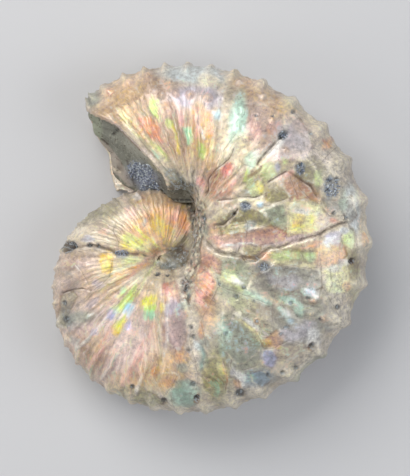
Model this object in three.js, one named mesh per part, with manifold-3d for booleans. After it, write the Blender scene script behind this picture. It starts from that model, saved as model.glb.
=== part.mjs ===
// A fossil scaphite ammonite: a coiled shell whose last half turn leaves the coil as a hooked body
// chamber, and the rock that fills its broken mouth. It lies on one flank. Millimetres, +Z up.
import * as THREE from "three";
import { mergeVertices } from "three/addons/utils/BufferGeometryUtils.js";
import Module from "manifold-3d";

const wasm = await Module();
wasm.setup();

const RAD = Math.PI / 180;

// The shell is built about the centre of its coil with its plane of symmetry level, then leans on
// its thinner, early part. The centre's place is measured from the middle of the finished box.
const COIL_CENTRE = [-9.45, -5.0, 11.2];
const LEAN_DEG = [0.7, -6.5];

// Growth stations. turn is the growth angle in degrees. The venter, the shell's outer edge, lies
// at a radius and bearing from the centre of the coil, seam is the whorl's inner edge, and half is
// half its width. The last station is the lip of the lower flank.
const STATIONS = [
  { turn: -30, bearing: -30, radius: 11.8, seam: [1.0, -0.6], half: 3.8 },
  { turn: 40, bearing: 40, radius: 13.2, seam: [0.9, 0.8], half: 4.9 },
  { turn: 90, bearing: 90, radius: 15.0, seam: [0, 1.2], half: 6.4 },
  { turn: 130, bearing: 130, radius: 17.0, seam: [-0.8, 0.9], half: 7.5 },
  { turn: 170, bearing: 170, radius: 21.7, seam: [-1.2, 0.2], half: 8.5 },
  { turn: 204, bearing: 204, radius: 25.7, seam: [-1.1, -0.5], half: 9.3 },
  { turn: 236, bearing: 236, radius: 28.8, seam: [-0.7, -1.0], half: 10.1 },
  { turn: 269, bearing: 269, radius: 31.1, seam: [0.3, -1.5], half: 11.0 },
  { turn: 304, bearing: 304, radius: 34.4, seam: [3.8, -1.8], half: 12.1 },
  { turn: 335, bearing: 335, radius: 38.9, seam: [5.7, 0], half: 12.9 },
  { turn: 365, bearing: 365, radius: 42.9, seam: [6.3, 2.5], half: 13.3 },
  { turn: 397, bearing: 397, radius: 43.7, seam: [6.8, 6.3], half: 13.2 },
  { turn: 429, bearing: 429, radius: 42.4, seam: [7.2, 10.4], half: 12.5 },
  { turn: 458, bearing: 458, radius: 40.6, seam: [6.8, 12.8], half: 11.5 },
  { turn: 475, bearing: 474, radius: 38.8, seam: [4.9, 13.3], half: 10.9 },
  { turn: 500, bearing: 476, radius: 37.8, seam: [-10.8, 13.2], half: 10.4 },
];
const COIL_START = -30;
const COIL_SHOWS = 55; // before this turn the coil is inside the body chamber
const COIL_END = 200;
const LIP_TURN = 475;
const BODY_END = 500;

// Ornament: degrees between primary ribs, heights of ribs and outer tubercles, and the degrees
// that a rib sweeps forward between the seam and the venter. The ribs fade on the wide right side.
const ORNAMENT = [
  { turn: -30, spacing: 10, rib: 0.15, tubercle: 0.1, sweep: 8 },
  { turn: 130, spacing: 9, rib: 0.3, tubercle: 0.45, sweep: 8 },
  { turn: 260, spacing: 9.7, rib: 0.34, tubercle: 0.75, sweep: 8 },
  { turn: 290, spacing: 11.2, rib: 0.12, tubercle: 0.95, sweep: 7 },
  { turn: 335, spacing: 12.3, rib: 0.06, tubercle: 1.35, sweep: 5 },
  { turn: 395, spacing: 11.5, rib: 0.1, tubercle: 1.3, sweep: 3 },
  { turn: 415, spacing: 10.1, rib: 0.26, tubercle: 1.15, sweep: 2.5 },
  { turn: 432, spacing: 7.2, rib: 0.4, tubercle: 1.05, sweep: 2 },
  { turn: 475, spacing: 6.8, rib: 0.4, tubercle: 0.8, sweep: 0 },
  { turn: 500, spacing: 8, rib: 0.15, tubercle: 0.1, sweep: 0 },
];
const RIB_STEPS = 4; // rings to a rib spacing: crest, trough, secondary crest, trough
const LIP_STEPS = 5;
const PRIMARY_WIDTH = 0.16; // rib widths as shares of the spacing
const SECONDARY_WIDTH = 0.13;
const TUBERCLE_AT = 0.957; // places along the flank, seam 0 to venter 1
const TUBERCLE_WIDTH = 0.028;
const LATERAL_AT = 0.78;
const LATERAL_WIDTH = 0.03;
const LATERAL_HEIGHT = 0.5;
const LATERAL_FROM = 400;

// The section of a whorl: widest a third of the way out, with a squarish outer shoulder.
const UPPER_STEPS = [0, 0.08, 0.2, 0.36, 0.54, 0.68, 0.78, 0.87, 0.925, 0.96, 0.988, 1];
const LOWER_STEPS = [0.96, 0.925, 0.78, 0.54, 0.2, 0];
const FULLEST_AT = 0.3;
const SEAM_WIDTH = 0.5;
const INNER_POWER = 2.6;
const SHOULDER_POWER = 3.2;

// The umbilicus is floored by the earliest whorls.
const HUB_RADIUS = 3.6;
const HUB_HALF = 3.1;

// The mouth is broken on a slant: from the near lip on the upper flank it falls towards the lip of
// the lower flank, so the rock inside shows from above.
const WALL = 1.3;
const FIT_GAP = 0.3;
const HOLLOW_START = 438.8;
const PAST_SEAM = 2.6; // the hollow runs past the seam, so the rock rests on the coil
const NEAR_LIP = [-4.4, 24.3, 10.4];
const LIP_FACES = [-0.75, -0.66];
const BREAK_FALL_DEG = 55;
const BREAK_FROM_Y = 8;
const ROCK_DROP = 0.7;
const ROCK_FALL_DEG = 64;
const FAR_LIP = [-13.7, 23.6];
const FAR_LIP_FACES = [-0.963, -0.268];
const ROCK_RECESS = 0.7;
const OVERRUN = 3;

// Open cracks in the upper flank, as points from the centre of the coil.
const CRACKS = [
  {
    width: 1.0,
    depth: 0.9,
    path: [[8.2, 5.1], [10.4, 2.4], [15.9, 1.4], [18.6, 1.1], [21.6, 2.7], [27, 4.2], [33, 5.7], [40, 8]],
  },
  {
    width: 0.9,
    depth: 0.8,
    path: [[-20.6, 3.5], [-16.3, 3.6], [-13.1, 3.2], [-10.4, 2.4], [-7.4, 2.0], [-4.2, 1.7]],
  },
  {
    width: 0.7,
    depth: 0.5,
    path: [[4.6, -4.9], [5.7, -10.1], [5.4, -14], [6, -19], [7, -24], [6.8, -28]],
  },
];
const CRACK_FOOT = 0.3; // share of its width that a crack keeps at the bottom
const ABOVE = 1.5;

const BLOCK = 120;

// The value of one field of a station list at a turn, on a smooth curve through the stations.
function along(stations, turn, pick) {
  const last = stations.length - 1;
  const t = Math.min(Math.max(turn, stations[0].turn), stations[last].turn);
  const next = Math.max(stations.findIndex((s) => s.turn >= t), 1);
  const at = (i) => stations[Math.min(Math.max(i, 0), last)];
  const [before, low, high, after] = [at(next - 2), at(next - 1), at(next), at(next + 1)];
  const span = high.turn - low.turn;
  const slope = (p, q) => (span * (pick(q) - pick(p))) / (q.turn - p.turn);
  const x = (t - low.turn) / span;
  const eased = x * x * (3 - 2 * x);
  return (
    pick(low) +
    eased * (pick(high) - pick(low)) +
    x * (1 - x) * ((1 - x) * slope(before, high) - x * slope(low, after))
  );
}

// 0 below low, 1 above high, and a smooth step between.
function smooth(low, high, value) {
  const x = Math.min(Math.max((value - low) / (high - low), 0), 1);
  return x * x * (3 - 2 * x);
}

const bump = (distance, width) => Math.exp(-Math.pow(distance / width, 2));

// The number of primary ribs grown by each half degree of turn.
const PHASE_STEP = 0.5;
const PHASES = [0];
for (let turn = COIL_START; turn < BODY_END + 20; turn += PHASE_STEP) {
  PHASES.push(PHASES.at(-1) + PHASE_STEP / along(ORNAMENT, turn, (s) => s.spacing));
}

function phaseAt(turn) {
  const place = (turn - COIL_START) / PHASE_STEP;
  const i = Math.min(Math.max(Math.floor(place), 0), PHASES.length - 2);
  return PHASES[i] + (place - i) * (PHASES[i + 1] - PHASES[i]);
}

function turnOfPhase(phase) {
  const i = PHASES.findIndex((p) => p >= phase);
  const share = (phase - PHASES[i - 1]) / (PHASES[i] - PHASES[i - 1]);
  return COIL_START + (i - 1 + share) * PHASE_STEP;
}

// The whorl's half width at u as a share of its fullest.
function fullness(u) {
  if (u < FULLEST_AT) return 1 - (1 - SEAM_WIDTH) * Math.pow(1 - u / FULLEST_AT, INNER_POWER);
  const x = (u - FULLEST_AT) / (1 - FULLEST_AT);
  return Math.sqrt(Math.max(1 - Math.pow(x, SHOULDER_POWER), 0));
}

// How far ribs and tubercles stand out from the plain whorl.
function relief(turn, u) {
  const phase = phaseAt(turn);
  const fromPrimary = Math.abs(phase - Math.round(phase));
  const fromSecondary = 0.5 - fromPrimary;
  const faded = smooth(0.03, 0.2, u);
  const primary = bump(fromPrimary, PRIMARY_WIDTH);
  const secondary = 0.75 * bump(fromSecondary, SECONDARY_WIDTH) * smooth(0.45, 0.7, u);
  const ribs = along(ORNAMENT, turn, (s) => s.rib) * (faded * (primary - 0.3) + secondary);
  const outer = Math.max(bump(u - TUBERCLE_AT, TUBERCLE_WIDTH), 0.6 * smooth(0.93, 0.96, u));
  const tubercles = along(ORNAMENT, turn, (s) => s.tubercle) * primary * outer;
  const onHook = smooth(LATERAL_FROM - 15, LATERAL_FROM, turn) * (1 - smooth(LIP_TURN, BODY_END, turn));
  const lateral = LATERAL_HEIGHT * onHook * primary * bump(u - LATERAL_AT, LATERAL_WIDTH);
  return ribs + tubercles + lateral;
}

// A point of the whorl's surface, grown by so much: side 1 is the upper flank and -1 the lower. A
// hollow has no ribs and runs on past the seam.
function whorlPoint(ribTurn, u, side, grown, isHollow) {
  const forward = along(ORNAMENT, ribTurn, (s) => s.sweep) * Math.pow(u, 1.5);
  const turn = Math.min(ribTurn + forward, BODY_END);
  const value = (pick) => along(STATIONS, turn, pick);
  const bearing = value((s) => s.bearing) * RAD;
  const radius = value((s) => s.radius);
  const half = value((s) => s.half);
  const seam = new THREE.Vector2(value((s) => s.seam[0]), value((s) => s.seam[1]));
  const outward = new THREE.Vector2(Math.cos(bearing), Math.sin(bearing)).multiplyScalar(radius).sub(seam);
  const height = outward.length();
  outward.normalize();
  const low = Math.max(u - 0.004, 0);
  const high = Math.min(u + 0.004, 1);
  const normal = new THREE.Vector2((fullness(low) - fullness(high)) * half, (high - low) * height);
  if (u === 1) normal.set(1, 0);
  normal.normalize().multiplyScalar(grown + (isHollow ? 0 : relief(ribTurn, u)));
  const pastSeam = PAST_SEAM * smooth(HOLLOW_START, LIP_TURN, turn) + grown + WALL;
  const inward = isHollow ? pastSeam * Math.max(1 - u / FULLEST_AT, 0) : 0;
  const across = seam.addScaledVector(outward, u * height + normal.x - inward);
  return new THREE.Vector3(across.x, across.y, side * Math.max(fullness(u) * half + normal.y, 0));
}

// The turns at which rings of points stand, so many to each rib.
function ringTurns(from, to, perRib) {
  const turns = [from];
  const lastRib = Math.min(to, LIP_TURN) - 0.8;
  for (let k = Math.ceil(phaseAt(from) * perRib + 0.4); turnOfPhase(k / perRib) < lastRib; k++) {
    const turn = turnOfPhase(k / perRib);
    if (turn > COIL_SHOWS || k % perRib === 0) turns.push(turn);
  }
  for (let i = 0; to > LIP_TURN && i < LIP_STEPS; i++) {
    turns.push(LIP_TURN + (i * (to - LIP_TURN)) / LIP_STEPS);
  }
  turns.push(to);
  return turns;
}

// One ring of points round the whorl.
function whorlRing(turn, grown = 0, isHollow = false) {
  const upper = UPPER_STEPS.map((u) => whorlPoint(turn, u, 1, grown, isHollow));
  return [...upper, ...LOWER_STEPS.map((u) => whorlPoint(turn, u, -1, grown, isHollow))];
}

// A closed solid through rings of points, with a fan over each end.
function loft(rings) {
  const count = rings[0].length;
  const points = rings.flat();
  const faces = [];
  for (let i = 0; i + 1 < rings.length; i++) {
    for (let j = 0; j < count; j++) {
      const a = i * count + j;
      const b = i * count + ((j + 1) % count);
      faces.push([a, b, b + count], [a, b + count, a + count]);
    }
  }
  const lastRing = (rings.length - 1) * count;
  for (const first of [0, lastRing]) {
    const middle = new THREE.Vector3();
    for (let j = 0; j < count; j++) middle.addScaledVector(points[first + j], 1 / count);
    const centre = points.push(middle) - 1;
    for (let j = 0; j < count; j++) {
      const edge = [first + j, first + ((j + 1) % count)];
      faces.push(first === lastRing ? [centre, ...edge] : [centre, edge[1], edge[0]]);
    }
  }
  return solidOf(new THREE.BufferGeometry().setFromPoints(points).setIndex(faces.flat()));
}

// A three.js geometry as a solid that can be cut and joined.
function solidOf(geometry) {
  const bare = geometry.clone();
  bare.deleteAttribute("normal");
  bare.deleteAttribute("uv");
  const merged = mergeVertices(bare, 1e-4);
  const vertProperties = new Float32Array(merged.attributes.position.array);
  const triVerts = new Uint32Array(merged.index.array);
  return new wasm.Manifold(new wasm.Mesh({ numProp: 3, vertProperties, triVerts }));
}

// The solid as a three.js geometry with flat faces.
function geometryOf(solid) {
  const mesh = solid.getMesh();
  const geometry = new THREE.BufferGeometry();
  geometry.setAttribute("position", new THREE.BufferAttribute(mesh.vertProperties, 3));
  geometry.setIndex(new THREE.BufferAttribute(mesh.triVerts, 1));
  const faceted = geometry.toNonIndexed();
  faceted.computeVertexNormals();
  return faceted;
}

// The largest body of a solid, without the slivers that a join leaves.
function largest(solid) {
  return solid.decompose().reduce((best, body) => (body.volume() > best.volume() ? body : best));
}

// Everything on the far side of a plane through a point, as a block to cut away.
function beyond(point, facing) {
  const block = new THREE.BoxGeometry(BLOCK, BLOCK, BLOCK).translate(0, 0, BLOCK / 2);
  const up = new THREE.Vector3(0, 0, 1);
  block.applyQuaternion(new THREE.Quaternion().setFromUnitVectors(up, facing.clone().normalize()));
  block.translate(point.x, point.y, point.z);
  return solidOf(block);
}

// What lies beyond the slanting break of the mouth.
function beyondBreak(drop, fallDeg) {
  const out = Math.sin(fallDeg * RAD);
  const facing = new THREE.Vector3(LIP_FACES[0] * out, LIP_FACES[1] * out, Math.cos(fallDeg * RAD));
  return beyond(new THREE.Vector3(NEAR_LIP[0], NEAR_LIP[1], NEAR_LIP[2] - drop), facing);
}

// The hollow of the body chamber behind the mouth, running out past the lip.
function makeHollow(wall, start) {
  const rings = ringTurns(start, BODY_END, 1).map((turn) => whorlRing(turn, -wall, true));
  const out = new THREE.Vector3(...FAR_LIP_FACES, 0).multiplyScalar(OVERRUN);
  rings.push(rings.at(-1).map((p) => p.clone().add(out)));
  return loft(rings);
}

// The coil and the early whorls in its umbilicus, grown outwards by grow.
function makeCoil(grow) {
  const coil = loft(ringTurns(COIL_START, COIL_END, RIB_STEPS).map((turn) => whorlRing(turn, grow)));
  const hub = new THREE.SphereGeometry(HUB_RADIUS + grow, 14, 8).scale(1, 1, HUB_HALF / HUB_RADIUS);
  return coil.add(solidOf(hub));
}

// An open crack that follows the shell's upper surface along a path.
function makeCrack(surface, { width, depth, path }) {
  const down = new THREE.Vector3(0, 0, -1);
  const points = path.map(([x, y]) => {
    const ray = new THREE.Raycaster(new THREE.Vector3(x, y, BLOCK), down);
    return ray.intersectObject(surface)[0].point;
  });
  const rings = points.map((point, i) => {
    const ahead = points[Math.min(i + 1, points.length - 1)];
    const behind = points[Math.max(i - 1, 0)];
    const side = new THREE.Vector3(behind.y - ahead.y, ahead.x - behind.x, 0).setLength(width / 2);
    const taper = i === 0 || i === points.length - 1 ? 0.4 : 1;
    const corner = (across, up) => point.clone().addScaledVector(side, across * taper).setZ(point.z + up);
    return [
      corner(1, ABOVE),
      corner(-1, ABOVE),
      corner(-CRACK_FOOT, -depth * taper),
      corner(CRACK_FOOT, -depth * taper),
    ];
  });
  return loft(rings);
}

// The break takes the end of the body chamber only, and the coil below it stays whole.
function makeShell() {
  const coilSide = beyond(new THREE.Vector3(0, BREAK_FROM_Y, 0), new THREE.Vector3(0, -1, 0));
  const broken = beyondBreak(0, BREAK_FALL_DEG).subtract(coilSide);
  const body = loft(ringTurns(COIL_END, BODY_END, RIB_STEPS).map((turn) => whorlRing(turn)));
  return largest(body.subtract(makeHollow(WALL, HOLLOW_START)).subtract(broken).add(makeCoil(0)));
}

function makeRock() {
  const lipEnd = new THREE.Vector3(...FAR_LIP, 0);
  const lipFacing = new THREE.Vector3(...FAR_LIP_FACES, 0);
  lipEnd.addScaledVector(lipFacing, -ROCK_RECESS);
  return makeHollow(WALL + FIT_GAP, HOLLOW_START + 1)
    .subtract(makeCoil(FIT_GAP))
    .subtract(beyondBreak(ROCK_DROP, ROCK_FALL_DEG))
    .subtract(beyond(lipEnd, lipFacing));
}

// The finished pieces stand in the part's frame: leaned, then lifted to their place.
const placing = new THREE.Group();
placing.rotation.set(LEAN_DEG[0] * RAD, LEAN_DEG[1] * RAD, 0);
placing.position.set(...COIL_CENTRE);
placing.updateMatrixWorld(true);

// Everything below the surface that the fossil rests on, in the shell's own frame.
function belowGround() {
  const inverse = placing.matrixWorld.clone().invert();
  const point = new THREE.Vector3(0, 0, 0).applyMatrix4(inverse);
  return beyond(point, new THREE.Vector3(0, 0, -1).transformDirection(inverse));
}

function addPiece(name, solid, material) {
  const mesh = new THREE.Mesh(geometryOf(solid), material);
  mesh.name = name;
  placing.add(mesh);
}

const nacre = new THREE.MeshStandardMaterial({ color: 0xc4ae98, roughness: 0.3, metalness: 0.15 });
const mudstone = new THREE.MeshStandardMaterial({ color: 0x77756a, roughness: 0.95, metalness: 0 });

const uncracked = makeShell();
const surface = new THREE.Mesh(geometryOf(uncracked));
const cracked = CRACKS.reduce((solid, crack) => solid.subtract(makeCrack(surface, crack)), uncracked);
addPiece("shell", cracked.subtract(belowGround()), nacre);
addPiece("mouth_rock", makeRock().subtract(belowGround()), mudstone);

const fossil = new THREE.Group();
fossil.add(placing);
export default fossil;
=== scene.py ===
# %% [markdown]
# # A fossil scaphite with its mother-of-pearl
#
# This notebook dresses the solids of a hooked, coiled ammonite shell. The solids already have the
# right size and the main ribs, but in flat facets. Here the shell becomes one fine mesh with crisp
# ribs, tubercles, cracks and pits, and gets the shifting colours of nacre. The rock in its broken
# mouth becomes a sandy stone with small crystals on it. Everything is in metres.

# %% Load the solids
import math
import random
import bpy
import numpy as np
from mathutils import Matrix, Vector, noise
from mathutils.bvhtree import BVHTree


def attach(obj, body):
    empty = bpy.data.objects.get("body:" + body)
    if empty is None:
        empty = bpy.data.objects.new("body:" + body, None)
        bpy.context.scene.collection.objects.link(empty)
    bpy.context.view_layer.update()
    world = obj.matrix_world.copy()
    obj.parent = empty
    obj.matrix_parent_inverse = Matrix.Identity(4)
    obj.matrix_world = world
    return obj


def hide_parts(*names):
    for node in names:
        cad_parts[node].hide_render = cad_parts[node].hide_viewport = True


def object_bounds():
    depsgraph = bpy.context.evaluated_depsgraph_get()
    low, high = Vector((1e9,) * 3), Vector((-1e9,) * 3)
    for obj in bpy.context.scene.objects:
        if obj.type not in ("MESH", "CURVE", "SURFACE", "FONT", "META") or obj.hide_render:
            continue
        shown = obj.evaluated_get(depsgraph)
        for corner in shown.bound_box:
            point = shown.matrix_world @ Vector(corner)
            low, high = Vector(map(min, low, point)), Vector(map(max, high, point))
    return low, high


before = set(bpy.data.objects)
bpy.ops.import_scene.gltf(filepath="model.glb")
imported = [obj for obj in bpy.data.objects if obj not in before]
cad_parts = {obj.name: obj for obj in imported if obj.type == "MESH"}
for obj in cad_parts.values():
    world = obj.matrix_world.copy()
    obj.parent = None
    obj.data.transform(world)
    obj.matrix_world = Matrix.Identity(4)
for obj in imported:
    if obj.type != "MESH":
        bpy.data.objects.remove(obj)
cad_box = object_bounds()
print("solids:", sorted(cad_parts))
print("box:", [tuple(round(v, 4) for v in corner) for corner in cad_box])

# %% [markdown]
# ## The camera
#
# The photograph looks down on the fossil from almost straight above. The camera comes first,
# because marks that are only known from the photograph are placed by looking through it: a ray
# through a pixel finds the place on the shell. A long lens from a hand's length away keeps the
# perspective as gentle as in the photograph.

# %% Camera
PHOTO_WIDTH, PHOTO_HEIGHT = 410, 476
PIXEL = 0.0002114  # metres to a pixel of the photograph, half way up the fossil
BOX_MIDDLE_PIXEL = (209.7, 238.0)  # the pixel over the middle of the fossil's box
VIEW_DISTANCE = 0.36
VIEW_ELEVATION = math.radians(88)
MIDDLE_HEIGHT = 0.0125
SENSOR = 36

LOOK = Vector((0, math.cos(VIEW_ELEVATION), -math.sin(VIEW_ELEVATION)))
VIEW_UP = Vector((0, math.sin(VIEW_ELEVATION), math.cos(VIEW_ELEVATION)))
VIEW_RIGHT = Vector((1, 0, 0))


def add_camera():
    data = bpy.data.cameras.new("camera")
    data.sensor_width = SENSOR
    data.lens = SENSOR * VIEW_DISTANCE / (PHOTO_HEIGHT * PIXEL)
    camera = bpy.data.objects.new("camera", data)
    bpy.context.scene.collection.objects.link(camera)
    aim_x = (PHOTO_WIDTH / 2 - BOX_MIDDLE_PIXEL[0]) * PIXEL
    aim_y = (BOX_MIDDLE_PIXEL[1] - PHOTO_HEIGHT / 2) * PIXEL
    camera.location = Vector((aim_x, aim_y, MIDDLE_HEIGHT)) - LOOK * VIEW_DISTANCE
    camera.rotation_euler = LOOK.to_track_quat("-Z", "Y").to_euler()
    bpy.context.scene.camera = camera
    return camera


camera = add_camera()


def ray_through(x, y):
    """The direction from the camera through a pixel of the photograph."""
    across = VIEW_RIGHT * (x - PHOTO_WIDTH / 2) * PIXEL
    return LOOK * VIEW_DISTANCE + across + VIEW_UP * (PHOTO_HEIGHT / 2 - y) * PIXEL


print("camera lens", round(camera.data.lens, 1), "mm at", [round(v, 3) for v in camera.location])

# %% [markdown]
# ## How the shell grew
#
# An ammonite's shell is one tube that grows by adding rings. Its ribs, growth lines and tubercles
# all follow those rings, and so do the streaks of colour. So each point of the surface is given
# two growth coordinates: the turn, an angle of growth, and the flank, which runs from 0 at the
# seam to 1 at the outer edge. The same growth stations that shape the solid give both, in
# millimetres from the middle of the coil.

# %% Growth stations
# turn, bearing and radius of the outer edge, seam x and y, half width
STATIONS = np.array([
    (-30, -30, 11.8, 1.0, -0.6, 3.8),
    (40, 40, 13.2, 0.9, 0.8, 4.9),
    (90, 90, 15.0, 0.0, 1.2, 6.4),
    (130, 130, 17.0, -0.8, 0.9, 7.5),
    (170, 170, 21.7, -1.2, 0.2, 8.5),
    (204, 204, 25.7, -1.1, -0.5, 9.3),
    (236, 236, 28.8, -0.7, -1.0, 10.1),
    (269, 269, 31.1, 0.3, -1.5, 11.0),
    (304, 304, 34.4, 3.8, -1.8, 12.1),
    (335, 335, 38.9, 5.7, 0.0, 12.9),
    (365, 365, 42.9, 6.3, 2.5, 13.3),
    (397, 397, 43.7, 6.8, 6.3, 13.2),
    (429, 429, 42.4, 7.2, 10.4, 12.5),
    (458, 458, 40.6, 6.8, 12.8, 11.5),
    (475, 474, 38.8, 4.9, 13.3, 10.9),
    (500, 476, 37.8, -10.8, 13.2, 10.4),
])
# turn, degrees between main ribs, height of ribs, height of tubercles, forward sweep of a rib
ORNAMENT = np.array([
    (-30, 10, 0.15, 0.1, 8),
    (130, 9, 0.3, 0.45, 8),
    (260, 9.7, 0.34, 0.75, 8),
    (290, 11.2, 0.12, 0.95, 7),
    (335, 12.3, 0.06, 1.35, 5),
    (395, 11.5, 0.1, 1.3, 3),
    (415, 10.1, 0.26, 1.15, 2.5),
    (432, 7.2, 0.4, 1.05, 2),
    (475, 6.8, 0.4, 0.8, 0),
    (500, 8, 0.15, 0.1, 0),
])
BEARING, RADIUS, SEAM_X, SEAM_Y, HALF = 1, 2, 3, 4, 5
SPACING, RIB, TUBERCLE, SWEEP = 1, 2, 3, 4
COIL_START, COIL_END, BODY_END, LIP_TURN = -30, 200, 500, 475
FULLEST_AT, SEAM_WIDTH, INNER_POWER, SHOULDER_POWER = 0.3, 0.5, 2.6, 3.2
TUBERCLE_AT = 0.957

print("growth stations:", len(STATIONS), "ornament stations:", len(ORNAMENT))

# %% The way the shell lies, and its rib phase
COIL_CENTRE = Vector((-9.45, -5.0, 11.2))
LEAN = Matrix.Rotation(math.radians(0.7), 3, "X") @ Matrix.Rotation(math.radians(-6.5), 3, "Y")
MM = 1000


def along(stations, turn, column):
    """One column of a station list at any turn, on the smooth curve through the stations."""
    turns, values = stations[:, 0], stations[:, column]
    last = len(turns) - 1
    at = np.clip(turn, turns[0], turns[-1])
    high = np.clip(np.searchsorted(turns, at), 1, last)
    low = high - 1
    before, after = np.maximum(high - 2, 0), np.minimum(high + 1, last)
    span = turns[high] - turns[low]
    low_slope = span * (values[high] - values[before]) / (turns[high] - turns[before])
    high_slope = span * (values[after] - values[low]) / (turns[after] - turns[low])
    x = (at - turns[low]) / span
    eased = x * x * (3 - 2 * x)
    bend = x * (1 - x) * ((1 - x) * low_slope - x * high_slope)
    return values[low] + eased * (values[high] - values[low]) + bend


PHASE_STEP = 0.5
PHASE_TURNS = np.arange(COIL_START, BODY_END + 20, PHASE_STEP)
PHASES = np.concatenate([[0], np.cumsum(PHASE_STEP / along(ORNAMENT, PHASE_TURNS, SPACING))])[:-1]


def rib_phase(turn):
    """How many main ribs had grown by a turn."""
    return np.interp(turn, PHASE_TURNS, PHASES)


def smooth(low, high, value):
    """0 below low, 1 above high, and a smooth step between."""
    x = np.clip((value - low) / (high - low), 0, 1)
    return x * x * (3 - 2 * x)


def fullness(flank):
    """The whorl's half width as a share of its fullest."""
    inner = 1 - (1 - SEAM_WIDTH) * np.maximum(1 - flank / FULLEST_AT, 0) ** INNER_POWER
    outer = np.maximum((flank - FULLEST_AT) / (1 - FULLEST_AT), 0)
    return inner * np.sqrt(np.maximum(1 - outer**SHOULDER_POWER, 0))


print("main ribs:", round(float(PHASES[-1])))

# %% [markdown]
# ## Finding a point's growth coordinates
#
# A whorl's section stands on a line from seam to outer edge, and that line sweeps round as the
# shell grows. For each point, the turn is where the sweeping line crosses it. The flank and the
# height above the plain, ribless whorl then come from the nearest point of the section's curve.
# The coil and the body chamber overlap, so both are tried, and the nearer surface wins.

# %% Growth coordinates
TURN_STEP = 0.5
CHUNK = 8000
CURVE = np.concatenate([
    np.linspace(0, 0.85, 40), np.linspace(0.86, 0.98, 16), np.linspace(0.984, 1, 12),
])


def crossing_section(points, first, last):
    """Where the sweeping section line crosses each point: the turn, or nan where it never does."""
    turns = np.arange(first, last + TURN_STEP, TURN_STEP)
    seam = np.stack([along(STATIONS, turns, SEAM_X), along(STATIONS, turns, SEAM_Y)], 1)
    bearing = np.radians(along(STATIONS, turns, BEARING))
    edge = np.stack([np.cos(bearing), np.sin(bearing)], 1) * along(STATIONS, turns, RADIUS)[:, None]
    out = edge - seam
    found = np.full(len(points), np.nan)
    for start in range(0, len(points), CHUNK):
        rel = points[start : start + CHUNK, None, :2] - seam[None]
        side = rel[..., 1] * out[:, 0] - rel[..., 0] * out[:, 1]
        share = (rel * out).sum(2) / (out * out).sum(1)
        crossed = (side[:, :-1] * side[:, 1:] <= 0) & (share[:, :-1] > -0.1) & (share[:, :-1] < 1.3)
        k = crossed.argmax(1)
        rows = np.arange(len(k))
        step = side[rows, k] / (side[rows, k] - side[rows, k + 1] + 1e-12)
        hit = crossed.any(1)
        found[start : start + CHUNK][hit] = (turns[k] + step * TURN_STEP)[hit]
    return found


def section_frame(turn):
    """Seam, unit direction outwards, and length of the section line at each turn."""
    seam = np.stack([along(STATIONS, turn, SEAM_X), along(STATIONS, turn, SEAM_Y)], 1)
    bearing = np.radians(along(STATIONS, turn, BEARING))
    edge = np.stack([np.cos(bearing), np.sin(bearing)], 1) * along(STATIONS, turn, RADIUS)[:, None]
    length = np.linalg.norm(edge - seam, axis=1)
    return seam, (edge - seam) / length[:, None], length


widest = along(STATIONS, STATIONS[:, 0], HALF).max()
print("widest half whorl:", round(float(widest), 1), "mm")


# %% Height over the whorl
def on_whorl(points, first, last):
    """For points in the coil's frame: turn, flank, height over the plain whorl, and its normal."""
    turn = crossing_section(points, first, last)
    known = np.where(np.isnan(turn), first, turn)
    seam, out, length = section_frame(known)
    half = along(STATIONS, known, HALF)
    here = np.stack([((points[:, :2] - seam) * out).sum(1), np.abs(points[:, 2])], 1)
    curve = np.stack([CURVE[None] * length[:, None], fullness(CURVE)[None] * half[:, None]], 2)
    gap = ((curve - here[:, None]) ** 2).sum(2)
    k = np.clip(gap.argmin(1), 1, len(CURVE) - 2)
    rows = np.arange(len(k))
    best = np.full(len(k), np.inf)
    flank, height, normal = np.zeros(len(k)), np.zeros(len(k)), np.zeros((len(k), 2))
    for j in (k - 1, k):
        a, b = curve[rows, j], curve[rows, j + 1]
        edge = b - a
        share = np.clip(((here - a) * edge).sum(1) / (edge * edge).sum(1), 0, 1)
        foot = a + share[:, None] * edge
        distance = np.linalg.norm(here - foot, axis=1)
        facing = np.stack([-edge[:, 1], edge[:, 0]], 1) / np.linalg.norm(edge, axis=1)[:, None]
        outside = np.where(((here - foot) * facing).sum(1) < 0, -1, 1)
        nearer = distance < best
        best = np.where(nearer, distance, best)
        flank = np.where(nearer, CURVE[j] + share * (CURVE[j + 1] - CURVE[j]), flank)
        height = np.where(nearer, outside * distance, height)
        normal = np.where(nearer[:, None], facing, normal)
    height = np.where(np.isnan(turn), 99, height)
    direction = np.concatenate([normal[:, :1] * out, normal[:, 1:] * np.sign(points[:, 2:])], 1)
    return known, flank, height, direction


def growth_of(points):
    """The nearer of the coil and the body chamber at each point."""
    body = on_whorl(points, COIL_END, BODY_END)
    coil = on_whorl(points, COIL_START, COIL_END)
    use_coil = np.abs(coil[2]) < np.abs(body[2])
    turn, flank, height = (np.where(use_coil, c, b) for c, b in zip(coil[:3], body[:3]))
    return turn, flank, height, np.where(use_coil[:, None], coil[3], body[3])


on_edge = np.array([[0, STATIONS[2, RADIUS], 0]])
print("turn, flank and height on the edge:", np.round(growth_of(on_edge)[:3], 2).ravel())

# %% [markdown]
# ## The shell as one fine mesh
#
# The solid has a few thousand flat faces. A copy of it is merged and remeshed in small even
# squares, like clay laid over it, and then each point of the outer skin is moved to where the
# growth curves put it, with ribs and tubercles drawn finely. Sculpting in code keeps the size
# exact and gives the same shell on each run.

# %% A copy of a solid
COIL_LEAN = np.array(LEAN)
VOXEL = 0.00034  # metres
UNDERSIDE_SHARE = 0.3  # of its faces that the hidden flank keeps


def to_coil(points):
    return (points * MM - np.array(COIL_CENTRE)) @ COIL_LEAN


def to_scene(points):
    return (points @ COIL_LEAN.T + np.array(COIL_CENTRE)) / MM


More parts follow.
